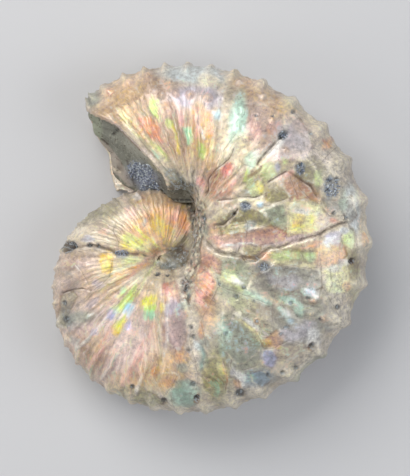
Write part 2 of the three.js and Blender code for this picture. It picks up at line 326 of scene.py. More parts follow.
def copy_of_solid(node, name):
    bpy.ops.object.select_all(action="DESELECT")
    piece = bpy.data.objects.new(name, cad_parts[node].data.copy())
    bpy.context.scene.collection.objects.link(piece)
    piece.data.materials.clear()
    piece.select_set(True)
    bpy.context.view_layer.objects.active = piece
    bpy.ops.object.mode_set(mode="EDIT")
    bpy.ops.mesh.select_all(action="SELECT")
    bpy.ops.mesh.remove_doubles(threshold=0.000002)
    bpy.ops.mesh.customdata_custom_splitnormals_clear()
    bpy.ops.object.mode_set(mode="OBJECT")
    return piece


def apply_modifier(piece, kind, **settings):
    modifier = piece.modifiers.new(kind.lower(), kind)
    for key, value in settings.items():
        setattr(modifier, key, value)
    bpy.context.view_layer.objects.active = piece
    bpy.ops.object.modifier_apply(modifier=modifier.name)


def points_of(piece):
    points = np.empty(len(piece.data.vertices) * 3)
    piece.data.vertices.foreach_get("co", points)
    return points.reshape(-1, 3)


def set_points(piece, points):
    piece.data.vertices.foreach_set("co", points.ravel())
    piece.data.update()


def thin_faces(piece, chosen, share):
    """Collapses faces among the chosen points until a share of them is left."""
    bpy.ops.object.mode_set(mode="EDIT")
    bpy.ops.mesh.select_mode(type="VERT")
    bpy.ops.mesh.select_all(action="DESELECT")
    bpy.ops.object.mode_set(mode="OBJECT")
    piece.data.vertices.foreach_set("select", chosen)
    bpy.ops.object.mode_set(mode="EDIT")
    bpy.ops.mesh.decimate(ratio=share)
    bpy.ops.object.mode_set(mode="OBJECT")


def triangles_in(piece):
    return sum(len(polygon.vertices) - 2 for polygon in piece.data.polygons)


print("one millimetre holds", round(0.001 / VOXEL, 1), "voxels")

# %% The shell remeshed
shell = copy_of_solid("shell", "nacre_shell")
apply_modifier(shell, "REMESH", mode="VOXEL", voxel_size=VOXEL)
print("remeshed shell:", triangles_in(shell), "triangles")
below = to_coil(points_of(shell))[:, 2] < -0.5
thin_faces(shell, below, UNDERSIDE_SHARE)
print("with a coarser underside:", triangles_in(shell), "triangles")

# %% [markdown]
# ## Ribs and tubercles
#
# Main ribs run the whole way from the seam, and shorter ones start half way out between them. A
# row of tubercles, one on each main rib, marks the shoulder. Growth is never quite even, so slow
# noises shift and weaken the ribs, and on the hook they fade before they reach the shoulder.

# %% Relief of the outer skin
SKIN_DEPTH = 0.55  # millimetres below the plain whorl that still count as its outer skin
SKIN_HEIGHT = 2.2  # and how far above it
SKIN_EDGE = 0.3
WANDER_SIZE, JITTER_SIZE = 7.0, 2.2  # millimetres across each slow and quick change in the ribs
WANDER_SHARE, JITTER_SHARE = 0.2, 0.16  # how far each shifts a rib, as a share of the spacing
MAIN_WIDTH, SECOND_WIDTH, FINE_WIDTH, KNOB_WIDTH = 0.15, 0.13, 0.24, 0.18
SECOND_HEIGHT, FINE_HEIGHT = 0.75, 0.22
KNOB_REACH = 0.03  # how far a tubercle spreads from seam to edge, as a share


def noise_at(points, scale, seed=0):
    """Smooth noise from -1 to 1, with features about scale millimetres across."""
    shift = Vector((seed * 17.3, seed * -9.1, seed * 5.7))
    return np.array([noise.noise(Vector(p) / scale + shift) for p in points])


def bump(distance, width):
    return np.exp(-((distance / width) ** 2))


def rib_place(turn, flank):
    return rib_phase(turn - along(ORNAMENT, turn, SWEEP) * flank**1.5)


def rib_gap(turn, flank):
    """How far each point is from a main rib's crest, as a share of the spacing."""
    phase = rib_place(turn, flank)
    return np.abs(phase - np.round(phase))


def relief(turn, flank, wander, jitter):
    phase = rib_place(turn, flank) + WANDER_SHARE * wander + JITTER_SHARE * jitter
    from_main = np.abs(phase - np.round(phase))
    on_hook = smooth(385, 400, turn) * (1 - smooth(LIP_TURN, BODY_END, turn))
    higher_on_hook = 1 + 0.5 * on_hook * (1 - smooth(0.4, 0.6, flank))
    main = bump(from_main, MAIN_WIDTH - 0.04 * on_hook) * higher_on_hook
    second = SECOND_HEIGHT * bump(0.5 - from_main, SECOND_WIDTH) * smooth(0.4, 0.62, flank)
    worn = (1 - 0.85 * on_hook * smooth(0.42, 0.6, flank)) * (0.5 + 0.5 * smooth(280, 310, turn))
    worn = worn * (1 - 0.6 * bump(turn - 190, 32))
    ribs = along(ORNAMENT, turn, RIB) * worn * (smooth(0.03, 0.16, flank) * (main - 0.3) + second)
    ribs = ribs * np.clip(0.9 + 1.1 * wander + 1.5 * jitter, 0, 2)
    from_fine = np.abs(3 * phase - np.round(3 * phase))
    ribs = ribs + FINE_HEIGHT * smooth(0.96, 0.985, flank) * bump(from_fine, FINE_WIDTH)
    round_edge = (0.7 + 0.15 * smooth(270, 310, turn)) * smooth(0.93, 0.965, flank)
    knob = np.maximum(bump(flank - TUBERCLE_AT, KNOB_REACH), round_edge)
    return ribs + along(ORNAMENT, turn, TUBERCLE) * bump(rib_gap(turn, flank), KNOB_WIDTH) * knob


points = to_coil(points_of(shell))
turn, flank, height, facing = growth_of(points)
skin = smooth(-SKIN_DEPTH - SKIN_EDGE, -SKIN_DEPTH, height)
skin = skin * (1 - smooth(SKIN_HEIGHT, SKIN_HEIGHT + SKIN_EDGE, height))
wander = noise_at(points, WANDER_SIZE, seed=1)
jitter = noise_at(points, JITTER_SIZE, seed=9)
moved = points + facing * ((relief(turn, flank, wander, jitter) - height) * skin)[:, None]
low, high = (np.array(corner) for corner in cad_box)
print("skin points:", int(skin.sum()), "of", len(skin))

# %% [markdown]
# ## Marks that the photograph shows
#
# Every fossil is different, so its cracks, pits and flashes of colour are listed. Each is
# placed by its pixel in the photograph, and each point of the shell knows the pixel at which the
# camera sees it. A little noise bends the marks, so that no edge looks drawn. Two small changes of
# form come first: the broken far lip reaches further left, and rock fills the umbilicus.

# %% Ways to place a mark
def seen_at(points):
    """The photograph's pixel at which the camera sees each point, in metres."""
    rel = points - np.array(camera.location)
    depth = rel @ np.array(LOOK)
    x = PHOTO_WIDTH / 2 + (rel @ np.array(VIEW_RIGHT)) / depth * VIEW_DISTANCE / PIXEL
    y = PHOTO_HEIGHT / 2 - (rel @ np.array(VIEW_UP)) / depth * VIEW_DISTANCE / PIXEL
    return np.stack([x, y], 1)


def spot(place, x, y, length, width, angle=0, soft=0.45):
    """1 within an ellipse, given by half its length and width, and 0 beyond its soft edge."""
    turned = math.radians(angle)
    right, up = place[:, 0] - x, y - place[:, 1]
    lengthwise = (right * math.cos(turned) + up * math.sin(turned)) / length
    crosswise = (up * math.cos(turned) - right * math.sin(turned)) / width
    return 1 - smooth(1 - soft, 1 + soft, np.hypot(lengthwise, crosswise))


def line_distance(place, path):
    """The distance to a path, with a sign for its side, and the share of the way along it."""
    best, share = np.full(len(place), 1e9), np.zeros(len(place))
    for i, (a, b) in enumerate(zip(path, path[1:])):
        edge = np.subtract(b, a)
        t = np.clip(((place - a) @ edge) / (edge @ edge), 0, 1)
        off = place - a - t[:, None] * edge
        distance = np.hypot(off[:, 0], off[:, 1])
        side = np.where(edge[0] * off[:, 1] - edge[1] * off[:, 0] < 0, -1, 1)
        nearer = distance < np.abs(best)
        best = np.where(nearer, side * distance, best)
        share = np.where(nearer, (i + t) / (len(path) - 1), share)
    return best, share


def within(place, outline, soft=0.7):
    """1 inside a closed outline, 0 outside it, with a soft edge of so many pixels."""
    distance, _ = line_distance(place, [*outline, outline[0]])
    inside = np.zeros(len(place), bool)
    for (ax, ay), (bx, by) in zip(outline, [*outline[1:], outline[0]]):
        between = (ay > place[:, 1]) != (by > place[:, 1])
        inside ^= between & (place[:, 0] < ax + (place[:, 1] - ay) / (by - ay + 1e-9) * (bx - ax))
    return smooth(-soft, soft, np.where(inside, 1, -1) * np.abs(distance))


def lip_reach(place):
    """How many millimetres further left the broken far lip and its rock reach."""
    upper_part = 1.5 * spot(place, 101, 126, 20, 10, -80, soft=0.6)
    lower_part = 0.7 * spot(place, 116, 180, 18, 9, -70, soft=0.6)
    return upper_part + lower_part


print("pixel over the coil's middle:", seen_at(np.array([COIL_CENTRE]) / MM).round(1)[0])

# %% Where the camera sees each point
UMBILICUS_FLOOR = 4.6  # millimetres above the coil's middle plane, where rock fills the umbilicus
UMBILICUS_BOTTOM = -7  # nothing lower than this is lifted to that floor
MOST_LIFT = 7

place = seen_at(to_scene(moved))
upper = points[:, 2] > 0
uneven = np.stack([noise_at(points, 1.3, seed=2), noise_at(points, 1.3, seed=3)], 1)
slow = np.stack([noise_at(points, 5.0, seed=4), noise_at(points, 5.0, seed=5)], 1)
far_lip = spot(place, 112, 165, 34, 20, -60, soft=0.2)
from_above = np.maximum(smooth(-3.0, 0.5, points[:, 2]), far_lip)
moved[:, 0] -= lip_reach(place)
normals = np.array([vertex.normal for vertex in shell.data.vertices]) @ COIL_LEAN
faces_up = smooth(-0.3, 0.1, normals[:, 2]) * (points[:, 2] > UMBILICUS_BOTTOM)
in_umbilicus = spot(place, 166, 259, 19, 15, soft=0.6) * faces_up
moved[:, 2] += in_umbilicus * np.clip(UMBILICUS_FLOOR - moved[:, 2], 0, MOST_LIFT)
print("pixels spanned:", place.min(0).round(), place.max(0).round())

# %% [markdown]
# ## Cracks and pits
#
# The shell cracked under the weight of the mud, and its pieces shifted. The long cracks are open
# grooves with one side standing higher. Finer ones are hairlines: the mesh carries the distance to
# them, and the finish draws the line. The hidden flank gets a few of its own. Pits are small round
# hollows, some with a raised rim. The pieces between the cracks are called shards here: each has
# its own colour and its own height. Low folds run along some ribs and catch the light.

# %% Open cracks
# half width in pixels, depth in millimetres, how far the right side stands up, and the path
CRACKS = {
    "long crack": (1.3, 0.45, 0.2, [
        (203, 238), (208, 244), (213, 250), (222, 253), (232, 255), (240, 256), (247, 258),
        (256, 258), (262, 253), (269, 248), (280, 247), (292, 242), (305, 238), (320, 235),
        (327, 230), (336, 226), (347, 222), (354, 225),
    ]),
    "left crack": (1.3, 0.45, 0.12, [
        (66, 246), (78, 247), (88, 245), (98, 246), (108, 249), (117, 253), (128, 254), (140, 254),
        (150, 257),
    ]),
    "upper seam": (1.0, 0.2, -0.1, [
        (184, 276), (188, 282), (184, 290), (188, 300), (191, 312),
    ]),
    "slit": (1.2, 0.5, -0.2, [
        (257, 165), (262, 157), (270, 148), (277, 140), (283, 135),
    ]),
    "flake edge": (0.9, 0.3, -0.2, [
        (266, 184), (277, 177), (287, 171), (296, 175), (305, 181), (312, 185), (319, 198),
    ]),
    "side lobe": (0.7, 0.2, 0.1, [
        (205, 196), (209, 190), (209, 179), (214, 171), (222, 164), (229, 160), (236, 146),
    ]),
    "under the lobe": (0.8, 0.2, -0.1, [
        (216, 201), (230, 199), (244, 197), (255, 197), (263, 194),
    ]),
    "pocket edge": (0.9, 0.35, -0.25, [
        (212, 226), (223, 224), (232, 217), (239, 208),
    ]),
    "pocket foot": (0.6, 0.15, 0.1, [
        (240, 246), (238, 252), (246, 263), (256, 261), (266, 253),
    ]),
    "dark rib": (0.8, 0.2, 0.1, [
        (62, 293), (72, 289), (84, 288), (92, 291),
    ]),
}
print("open cracks:", list(CRACKS))

# %% Hairlines
HAIRLINES = [
    [(192, 322), (189, 336), (192, 350), (196, 362), (198, 380), (194, 396)],
    [(230, 226), (252, 222), (270, 228)], [(244, 214), (248, 226), (246, 240)],
    [(330, 270), (332, 284), (328, 296)], [(296, 178), (302, 190), (312, 200)],
    [(281, 247), (280, 262), (279, 278), (276, 292), (272, 306), (272, 320), (274, 336)],
    [(318, 236), (319, 250), (321, 266), (322, 285), (318, 300)],
    [(272, 263), (290, 265), (304, 268), (319, 268)],
    [(216, 276), (219, 286), (232, 291), (244, 295), (258, 300), (271, 305)],
    [(240, 318), (252, 327), (260, 338), (262, 348)],
    [(222, 358), (226, 370), (227, 382), (224, 394)],
    [(219, 284), (214, 296), (206, 310), (201, 322), (205, 340), (206, 350)],
    [(244, 370), (256, 366), (262, 352)], [(233, 356), (230, 366), (238, 376), (240, 392)],
    [(213, 250), (206, 256), (197, 259)], [(272, 186), (278, 192)],
    [(290, 173), (293, 184), (298, 196)], [(240, 160), (246, 165), (256, 167)],
    [(262, 205), (268, 206), (280, 201), (288, 198)], [(290, 213), (289, 226), (288, 238)],
    [(320, 198), (323, 208), (330, 216), (345, 216), (353, 224), (357, 240), (356, 256)],
    [(307, 126), (300, 118), (292, 112)], [(197, 118), (200, 130), (203, 142)],
    [(223, 152), (229, 144), (236, 133)], [(156, 300), (158, 318), (160, 340), (162, 360)],
    [(113, 255), (112, 266), (110, 278), (92, 291)], [(184, 292), (188, 306), (192, 314)],
    [(176, 352), (180, 362), (178, 374), (172, 388), (160, 399)],
    [(116, 222), (113, 231), (119, 242), (117, 250)], [(75, 263), (82, 272), (88, 282), (90, 289)],
    [(345, 140), (333, 150), (322, 162), (306, 168)],
    [(322, 286), (330, 300), (338, 313), (345, 325)],
    [(262, 350), (275, 348), (290, 340), (303, 346)], [(300, 251), (304, 258), (301, 264)],
    [(346, 228), (341, 236), (344, 246)],
]
print("hairlines:", len(HAIRLINES))

# %% Cracks of the hidden flank
# paths in the same pixels, as if seen through the fossil
HIDDEN_CRACKS = [
    [(352, 250), (330, 256), (306, 250), (282, 262), (256, 266), (232, 256), (210, 262)],
    [(262, 92), (252, 120), (258, 150), (244, 176), (226, 196)],
    [(62, 262), (84, 256), (104, 264), (126, 258), (146, 262)],
]
HIDDEN_HAIRLINES = [
    [(330, 160), (310, 180), (290, 190), (270, 215), (262, 240)],
    [(300, 340), (280, 310), (262, 290), (256, 266)],
    [(240, 398), (236, 370), (244, 340), (240, 310), (236, 285)],
    [(90, 330), (112, 316), (130, 300), (146, 276)],
    [(120, 390), (136, 360), (140, 330), (150, 300)],
    [(170, 400), (176, 370), (170, 340), (178, 310)],
    [(306, 250), (310, 280), (304, 310), (312, 335)],
    [(150, 74), (160, 100), (172, 120), (176, 150)], [(210, 66), (214, 96), (206, 126), (212, 150)],
]
print("hidden cracks:", len(HIDDEN_CRACKS), "hidden hairlines:", len(HIDDEN_HAIRLINES))

# %% Distance to the cracks
# half width in pixels, and depth and lift in millimetres
HAIR_FORM = (0.45, 0.04, 0.06)
HIDDEN_FORM = (0.9, 0.35, 0.15)
HIDDEN_STRENGTH, HAIR_STRENGTH = 0.9, 0.45  # how dark the finish draws them
FAR = 9.0  # pixels from any crack, as a start
TILT_REACH = 15  # pixels over which a lifted side sinks back

groove, step, crack_on = (np.zeros(len(place)) for _ in range(3))
crack = np.full(len(place), FAR)
crack_width = np.full(len(place), HAIR_FORM[0])
crack_place = place + 0.8 * uneven + 0.9 * slow
on_top = smooth(-1.5, 3.0, points[:, 2]) * from_above
on_hidden = smooth(1.0, 4.0, -points[:, 2])
open_cracks = [(*listed, 1.0, on_top) for listed in CRACKS.values()]
open_cracks += [(*HIDDEN_FORM, path, HIDDEN_STRENGTH, on_hidden) for path in HIDDEN_CRACKS]
hair_cracks = [(*HAIR_FORM, path, HAIR_STRENGTH, on_top) for path in HAIRLINES]
hair_cracks += [(*HAIR_FORM, path, HAIR_STRENGTH, on_hidden) for path in HIDDEN_HAIRLINES]
for half_width, depth, lift, path, strength, flank_share in open_cracks + hair_cracks:
    distance, share = line_distance(crack_place, path)
    taper = smooth(-0.01, 0.06, share) * (1 - smooth(0.94, 1.01, share)) * flank_share
    cut = 1 - smooth(half_width * 0.4, half_width * 1.8, np.abs(distance))
    groove = np.maximum(groove, depth * taper * cut)
    step += lift * taper * smooth(-0.8, 0.8, distance) * (1 - smooth(2, TILT_REACH, np.abs(distance)))
    closer = (np.abs(distance) < np.abs(crack)) & (flank_share > 0)
    crack = np.where(closer, distance, crack)
    crack_width = np.where(closer, half_width * (0.4 + 0.6 * taper), crack_width)
    faded = strength * taper * np.clip(0.85 + 0.9 * uneven[:, 0], 0.1, 1)
    crack_on = np.where(closer, faded * (1 - smooth(2.5, 4, np.abs(distance))), crack_on)
print("cracks:", len(open_cracks), "hairlines:", len(hair_cracks))

# %% Pits and nodes
# x, y and half width in pixels, and depth in millimetres
PITS = [
    (283, 135, 4.2, 0.8), (256, 115, 1.6, 0.3), (273, 116, 1.8, 0.3), (293, 112, 2.4, 0.3),
    (311, 133, 2.4, 0.3), (246, 205, 3.6, 0.45), (234, 213, 2.4, 0.5), (300, 165, 3.0, 0.4),
    (302, 172, 2.6, 0.4), (329, 180, 3.2, 0.4), (337, 179, 3.0, 0.4), (328, 190, 3.0, 0.4),
    (334, 213, 2.4, 0.3), (346, 218, 2.2, 0.3), (352, 261, 3.4, 0.8), (338, 307, 3.0, 0.35),
    (312, 346, 3.2, 0.9), (283, 373, 2.8, 0.7), (268, 375, 2.6, 0.3), (296, 368, 2.6, 0.3),
    (240, 393, 5.0, 0.4), (226, 333, 2.8, 0.2), (257, 321, 2.2, 0.2), (237, 297, 3.0, 0.3),
    (244, 288, 2.6, 0.3), (254, 301, 1.8, 0.2), (219, 284, 1.9, 0.25), (213, 281, 1.6, 0.2),
    (308, 298, 2.6, 0.25), (291, 303, 2.6, 0.25), (286, 327, 2.2, 0.2), (191, 327, 2.6, 0.45),
    (193, 337, 3.0, 0.5), (189, 350, 2.4, 0.45), (193, 384, 3.4, 0.4), (197, 398, 3.4, 0.6),
    (132, 387, 2.8, 0.45), (164, 400, 3.2, 0.4), (157, 274, 2.6, 0.35), (168, 275, 2.2, 0.35),
    (186, 281, 2.8, 0.45), (185, 289, 2.8, 0.45), (89, 245, 2.6, 0.7), (71, 246, 5.5, 0.9),
    (98, 246, 2.2, 0.5), (64, 303, 2.8, 0.4), (66, 320, 4.0, 0.3), (196, 220, 2.2, 0.3),
    (199, 212, 2.0, 0.3), (204, 219, 2.8, 0.35), (196, 236, 2.2, 0.3), (193, 252, 2.2, 0.3),
    (281, 334, 2.0, 0.2), (264, 267, 5.0, 0.15), (320, 319, 2.0, 0.15),
]
# x, y and half width of the small nodes that stand on the hook and the right side
NODES = [
    (109, 91, 3.2), (129, 82, 3.4), (148, 75, 3.4), (162, 96, 3.4), (176, 94, 3.0), (190, 95, 3.4),
    (208, 98, 3.6), (239, 83, 2.8), (263, 97, 3.0), (272, 120, 2.4), (286, 150, 2.2),
    (313, 301, 2.6), (323, 319, 2.6), (257, 321, 2.4),
]
print("pits:", len(PITS), "nodes:", len(NODES))

# %% Folds and the band along the seam
# lift in millimetres, half width in pixels, and path of each low fold of the shell
FOLDS = [
    (-0.7, 4.5, [(158, 265), (168, 261), (179, 254), (186, 244), (190, 230)]),
    (0.35, 2.6, [(106, 108), (128, 128), (150, 148), (170, 165)]),
    (0.3, 2.6, [(128, 116), (146, 138), (162, 158)]),
    (0.3, 2.4, [(150, 112), (162, 134), (172, 156)]),
    (0.3, 2.4, [(170, 112), (178, 136), (180, 160)]),
    (0.35, 2.6, [(194, 102), (197, 122), (202, 144), (198, 160)]),
    (0.3, 2.4, [(217, 130), (213, 150), (206, 168)]),
    (0.3, 2.6, [(238, 142), (226, 160), (210, 184)]),
    (0.3, 2.6, [(246, 166), (236, 182), (216, 200)]),
    (0.5, 6, [(222, 276), (250, 293), (274, 306), (296, 324)]),
    (0.4, 5, [(232, 312), (254, 328), (268, 350)]), (0.4, 5, [(284, 286), (306, 291), (324, 302)]),
    (0.35, 4, [(268, 264), (300, 265), (324, 268)]),
    (0.3, 3.4, [(224, 310), (222, 330), (228, 352)]),
    (0.25, 3.0, [(228, 362), (238, 376), (246, 392)]),
    (0.3, 2.6, [(118, 262), (138, 266), (156, 262)]),
    (0.3, 2.6, [(94, 292), (120, 278), (152, 266)]), (0.4, 2.4, [(72, 352), (84, 340), (98, 328)]),
    (0.4, 2.4, [(84, 374), (98, 356), (112, 338)]), (0.4, 2.4, [(98, 384), (112, 364), (124, 342)]),
    (0.4, 2.4, [(116, 394), (128, 374), (138, 350)]),
    (0.4, 2.4, [(134, 400), (142, 380), (148, 356)]), (0.4, 2.4, [(66, 334), (78, 324), (94, 314)]),
    (0.3, 2.6, [(156, 300), (159, 325), (160, 360)]),
    (0.3, 2.6, [(104, 324), (126, 300), (156, 270)]),
]
# outline of the rough, muddy band along the seam
SEAM_BAND = [
    (186, 203), (196, 198), (205, 204), (207, 224), (202, 240), (201, 262), (195, 276), (190, 300),
    (180, 300), (180, 286), (186, 272), (192, 256), (193, 232), (190, 216),
]
print("folds:", len(FOLDS), "corners of the band:", len(SEAM_BAND))

# %% Flashing patches
# colour and outline of each patch where the nacre flashes
FLASHES = [
    ("lime", [
        (112, 312), (118, 303), (128, 292), (136, 284), (138, 290), (132, 302), (124, 310),
        (116, 316),
    ]),
    ("lilac", [(106, 319), (110, 310), (118, 306), (120, 312), (112, 320)]),
    ("pale sky", [(122, 312), (128, 302), (134, 300), (134, 310), (128, 318)]),
    ("yellow", [(142, 298), (156, 293), (158, 304), (150, 308), (144, 306)]),
    ("lime", [(143, 307), (157, 304), (158, 312), (146, 314)]),
    ("mint grey", [(145, 314), (158, 312), (159, 322), (150, 320)]),
    ("yellow", [(114, 334), (119, 322), (126, 314), (127, 322), (120, 332)]),
    ("lilac", [(124, 324), (130, 319), (132, 328), (126, 331)]),
    ("pale yellow", [
        (120, 235), (128, 231), (146, 241), (158, 247), (150, 251), (134, 249), (124, 243),
    ]),
    ("peach", [(150, 212), (160, 207), (178, 212), (184, 226), (178, 240), (167, 232), (159, 224)]),
    ("gold", [(152, 226), (160, 219), (172, 226), (176, 236), (174, 252), (167, 248), (159, 238)]),
    ("salmon", [(163, 232), (170, 227), (173, 238), (167, 241)]),
    ("salmon", [(180, 218), (186, 214), (190, 226), (186, 234), (181, 228)]),
    ("gold", [(98, 253), (110, 250), (114, 262), (112, 277), (103, 272), (99, 262)]),
    ("pale yellow", [(117, 264), (128, 257), (146, 256), (134, 262), (122, 269)]),
    ("peach", [(112, 281), (130, 268), (148, 260), (152, 263), (134, 274), (116, 287)]),
    ("salmon", [(139, 118), (150, 117), (160, 130), (163, 144), (152, 140), (143, 128)]),
    ("orange brown", [(163, 100), (172, 98), (177, 106), (172, 119), (165, 110)]),
    ("lime", [(150, 98), (157, 99), (159, 112), (154, 116), (150, 108)]),
    ("mint", [(184, 129), (190, 128), (194, 142), (189, 144)]),
    ("pink", [(176, 110), (182, 112), (184, 126), (179, 124)]),
    ("pink", [(193, 106), (200, 108), (202, 132), (197, 138), (193, 122)]),
    ("pale mint", [(232, 118), (240, 108), (246, 116), (242, 128), (234, 128)]),
    ("pale sky", [(214, 112), (222, 112), (220, 120), (214, 118)]),
    ("lime", [(198, 144), (205, 143), (206, 158), (201, 160)]),
]
print("flashing patches:", len(FLASHES))

# %% Shards
# colour, how far the piece stands up in millimetres, and the outline of each cracked piece of shell
SHARDS = [
    ("rosy tan", 0.0, [
        (244, 106), (262, 104), (284, 112), (283, 128), (270, 146), (256, 158), (247, 148),
        (250, 128),
    ]),
    ("pale rose", 0.06, [
        (283, 140), (286, 130), (292, 119), (299, 119), (307, 130), (313, 146), (306, 157),
        (284, 160), (262, 164),
    ]),
    ("khaki", -0.05, [
        (262, 166), (284, 161), (307, 159), (316, 168), (320, 184), (318, 196), (308, 184),
        (296, 176), (288, 172), (276, 177), (264, 186), (256, 196), (248, 190), (250, 176),
    ]),
    ("orange brown", -0.3, [
        (283, 174), (290, 171), (297, 176), (305, 181), (312, 184), (320, 197), (319, 204),
        (306, 199), (290, 198), (284, 188),
    ]),
    ("olive", -0.18, [
        (267, 190), (275, 183), (284, 188), (290, 198), (280, 203), (270, 205), (265, 199),
    ]),
    ("taupe", 0.0, [
        (322, 198), (334, 200), (352, 196), (357, 216), (350, 222), (340, 214), (328, 212),
    ]),
    ("pale yellow", 0.05, [
        (284, 203), (300, 200), (318, 203), (326, 213), (328, 222), (318, 231), (300, 234),
        (287, 236), (287, 218),
    ]),
    # The dark olive piece is painted shade: the wall of the inner whorl in the umbilicus, in shadow.
    ("dark olive", -0.1, [
        (187, 230), (194, 240), (193, 254), (185, 265), (172, 270), (160, 268), (159, 262),
        (166, 254), (174, 246), (182, 237),
    ]),
    ("rose brown", 0.0, [(160, 284), (176, 280), (184, 292), (184, 302), (164, 306)]),
    ("mud", -0.1, SEAM_BAND),
    ("olive", 0.16, [
        (218, 226), (226, 224), (233, 217), (240, 209), (254, 208), (266, 214), (276, 223),
        (262, 229), (246, 233), (222, 235),
    ]),
    ("green grey", 0.12, [(262, 210), (284, 204), (288, 220), (286, 232), (272, 226), (266, 216)]),
    ("rose brown", 0.2, [
        (212, 236), (240, 233), (258, 228), (276, 226), (286, 233), (284, 240), (262, 245),
        (240, 244), (218, 249),
    ]),
    ("olive", 0.15, [(241, 247), (250, 243), (262, 246), (260, 252), (252, 257), (244, 256)]),
    ("lavender", 0.05, [(322, 236), (330, 231), (341, 230), (343, 238), (338, 247), (328, 243)]),
    ("pale lime", 0.0, [(343, 232), (352, 228), (356, 240), (352, 250), (345, 246)]),
    ("peach", 0.08, [(319, 251), (345, 248), (347, 255), (338, 263), (326, 269), (320, 262)]),
    ("pale yellow", 0.05, [
        (323, 269), (338, 263), (348, 262), (351, 276), (346, 292), (328, 294), (325, 282),
    ]),
    ("taupe", 0.14, [
        (272, 265), (296, 266), (319, 270), (322, 287), (312, 292), (298, 290), (282, 296),
        (273, 305), (258, 298), (248, 290), (252, 278), (262, 272),
    ]),
    ("grey", 0.14, [
        (228, 318), (240, 320), (254, 328), (262, 342), (258, 352), (246, 362), (236, 364),
        (226, 352), (220, 338),
    ]),
    ("khaki", 0.1, [
        (206, 358), (216, 356), (224, 366), (228, 382), (226, 394), (214, 398), (204, 392),
        (200, 376),
    ]),
    ("tan", 0.0, [(176, 350), (183, 348), (188, 354), (188, 362), (180, 367), (174, 360)]),
    ("tan", 0.0, [(161, 374), (172, 372), (179, 376), (178, 386), (168, 390), (160, 384)]),
    ("mint grey", -0.06, [
        (171, 392), (180, 381), (188, 380), (196, 391), (198, 402), (190, 409), (173, 406),
    ]),
    ("khaki", 0.0, [(130, 388), (150, 392), (168, 402), (150, 407), (134, 402)]),
    ("rose brown", 0.2, [
        (209, 192), (210, 182), (216, 172), (224, 168), (228, 174), (224, 184), (216, 193),
    ]),
    ("pink", 0.12, [(222, 168), (230, 161), (234, 166), (230, 176), (222, 180)]),
    ("mauve", 0.0, [
        (165, 305), (180, 300), (187, 316), (186, 340), (180, 352), (168, 344), (163, 325),
    ]),
    ("lilac", 0.0, [(262, 350), (272, 349), (278, 358), (272, 368), (264, 364)]),
    ("blue grey", 0.0, [(250, 372), (262, 370), (272, 380), (262, 388), (252, 382)]),
    ("pink", 0.05, [(198, 276), (208, 270), (216, 282), (210, 296), (200, 300)]),
    ("rose brown", 0.0, [(200, 262), (212, 254), (222, 262), (220, 274), (208, 270)]),
    ("khaki", -0.2, [(60, 296), (72, 290), (78, 296), (70, 312), (66, 328), (58, 326)]),
    ("peach", -0.05, [(266, 338), (276, 330), (286, 336), (280, 348), (268, 350)]),
]
print("shards:", len(SHARDS))

# %% Carving
RIM_HEIGHT, NODE_HEIGHT = 0.1, 0.6  # millimetres
CRUMPLE = ((0.14, 2.6, 6), (0.06, 0.9, 7))  # height and size in millimetres, and seed
GRIT_HEIGHT, GRIT_SIZE = 0.16, 1.1  # in the muddy band along the seam

pit_place = place + 0.5 * uneven + 0.5 * slow
hollow, rim, pitted = (np.zeros(len(place)) for _ in range(3))
for x, y, half_width, depth in PITS:
    distance = np.hypot(pit_place[:, 0] - x, (pit_place[:, 1] - y) * 1.1) / half_width
    hollow = np.maximum(hollow, depth * (1 - smooth(0.35, 1.2, distance)))
    rim = np.maximum(rim, RIM_HEIGHT * bump(distance - 1.5, 0.35))
    pitted = np.maximum(pitted, 1 - smooth(0.65, 1.3, distance))
raised = sum(lift * within(crack_place, outline) for _, lift, outline in SHARDS)
for x, y, half_width in NODES:
    distance = np.hypot(place[:, 0] - x, place[:, 1] - y) / half_width
    raised = raised + NODE_HEIGHT * bump(distance, 0.8)
for lift, half_width, path in FOLDS:
    distance, share = line_distance(crack_place, path)
    ends = smooth(0, 0.2, share) * (1 - smooth(0.8, 1, share))
    raised = raised + lift * bump(distance, half_width) * ends
gritty = within(crack_place, SEAM_BAND, soft=2) * from_above
crumple = sum(height_of * noise_at(points, size, seed) for height_of, size, seed in CRUMPLE)
crumple += GRIT_HEIGHT * gritty * noise_at(points, GRIT_SIZE, seed=10)
carved = step - groove + (raised + rim * (1 - pitted) - hollow) * on_top + crumple
print("deepest carving:", round(float(-carved.min()), 2), "mm")

# %% The carved shell
set_points(shell, np.clip(to_scene(moved + facing * (carved * skin)[:, None]), low, high))
for polygon in shell.data.polygons:
    polygon.use_smooth = True
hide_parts("shell")
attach(shell, "root")
print("carved shell:", triangles_in(shell), "triangles")

# %% [markdown]
# ## Colours of the nacre
#
# Nacre is thin layers of aragonite that split white light, so its colour shifts from rose through
# gold and green to blue in streaks along the ribs. Sampling a picture would give flat, blurred
# skin, so the colours are mixed as a painter does: a palette, broad patches of ground colour, and
# streaks and dabs of brighter colour over them. They are kept as a colour attribute on the mesh.

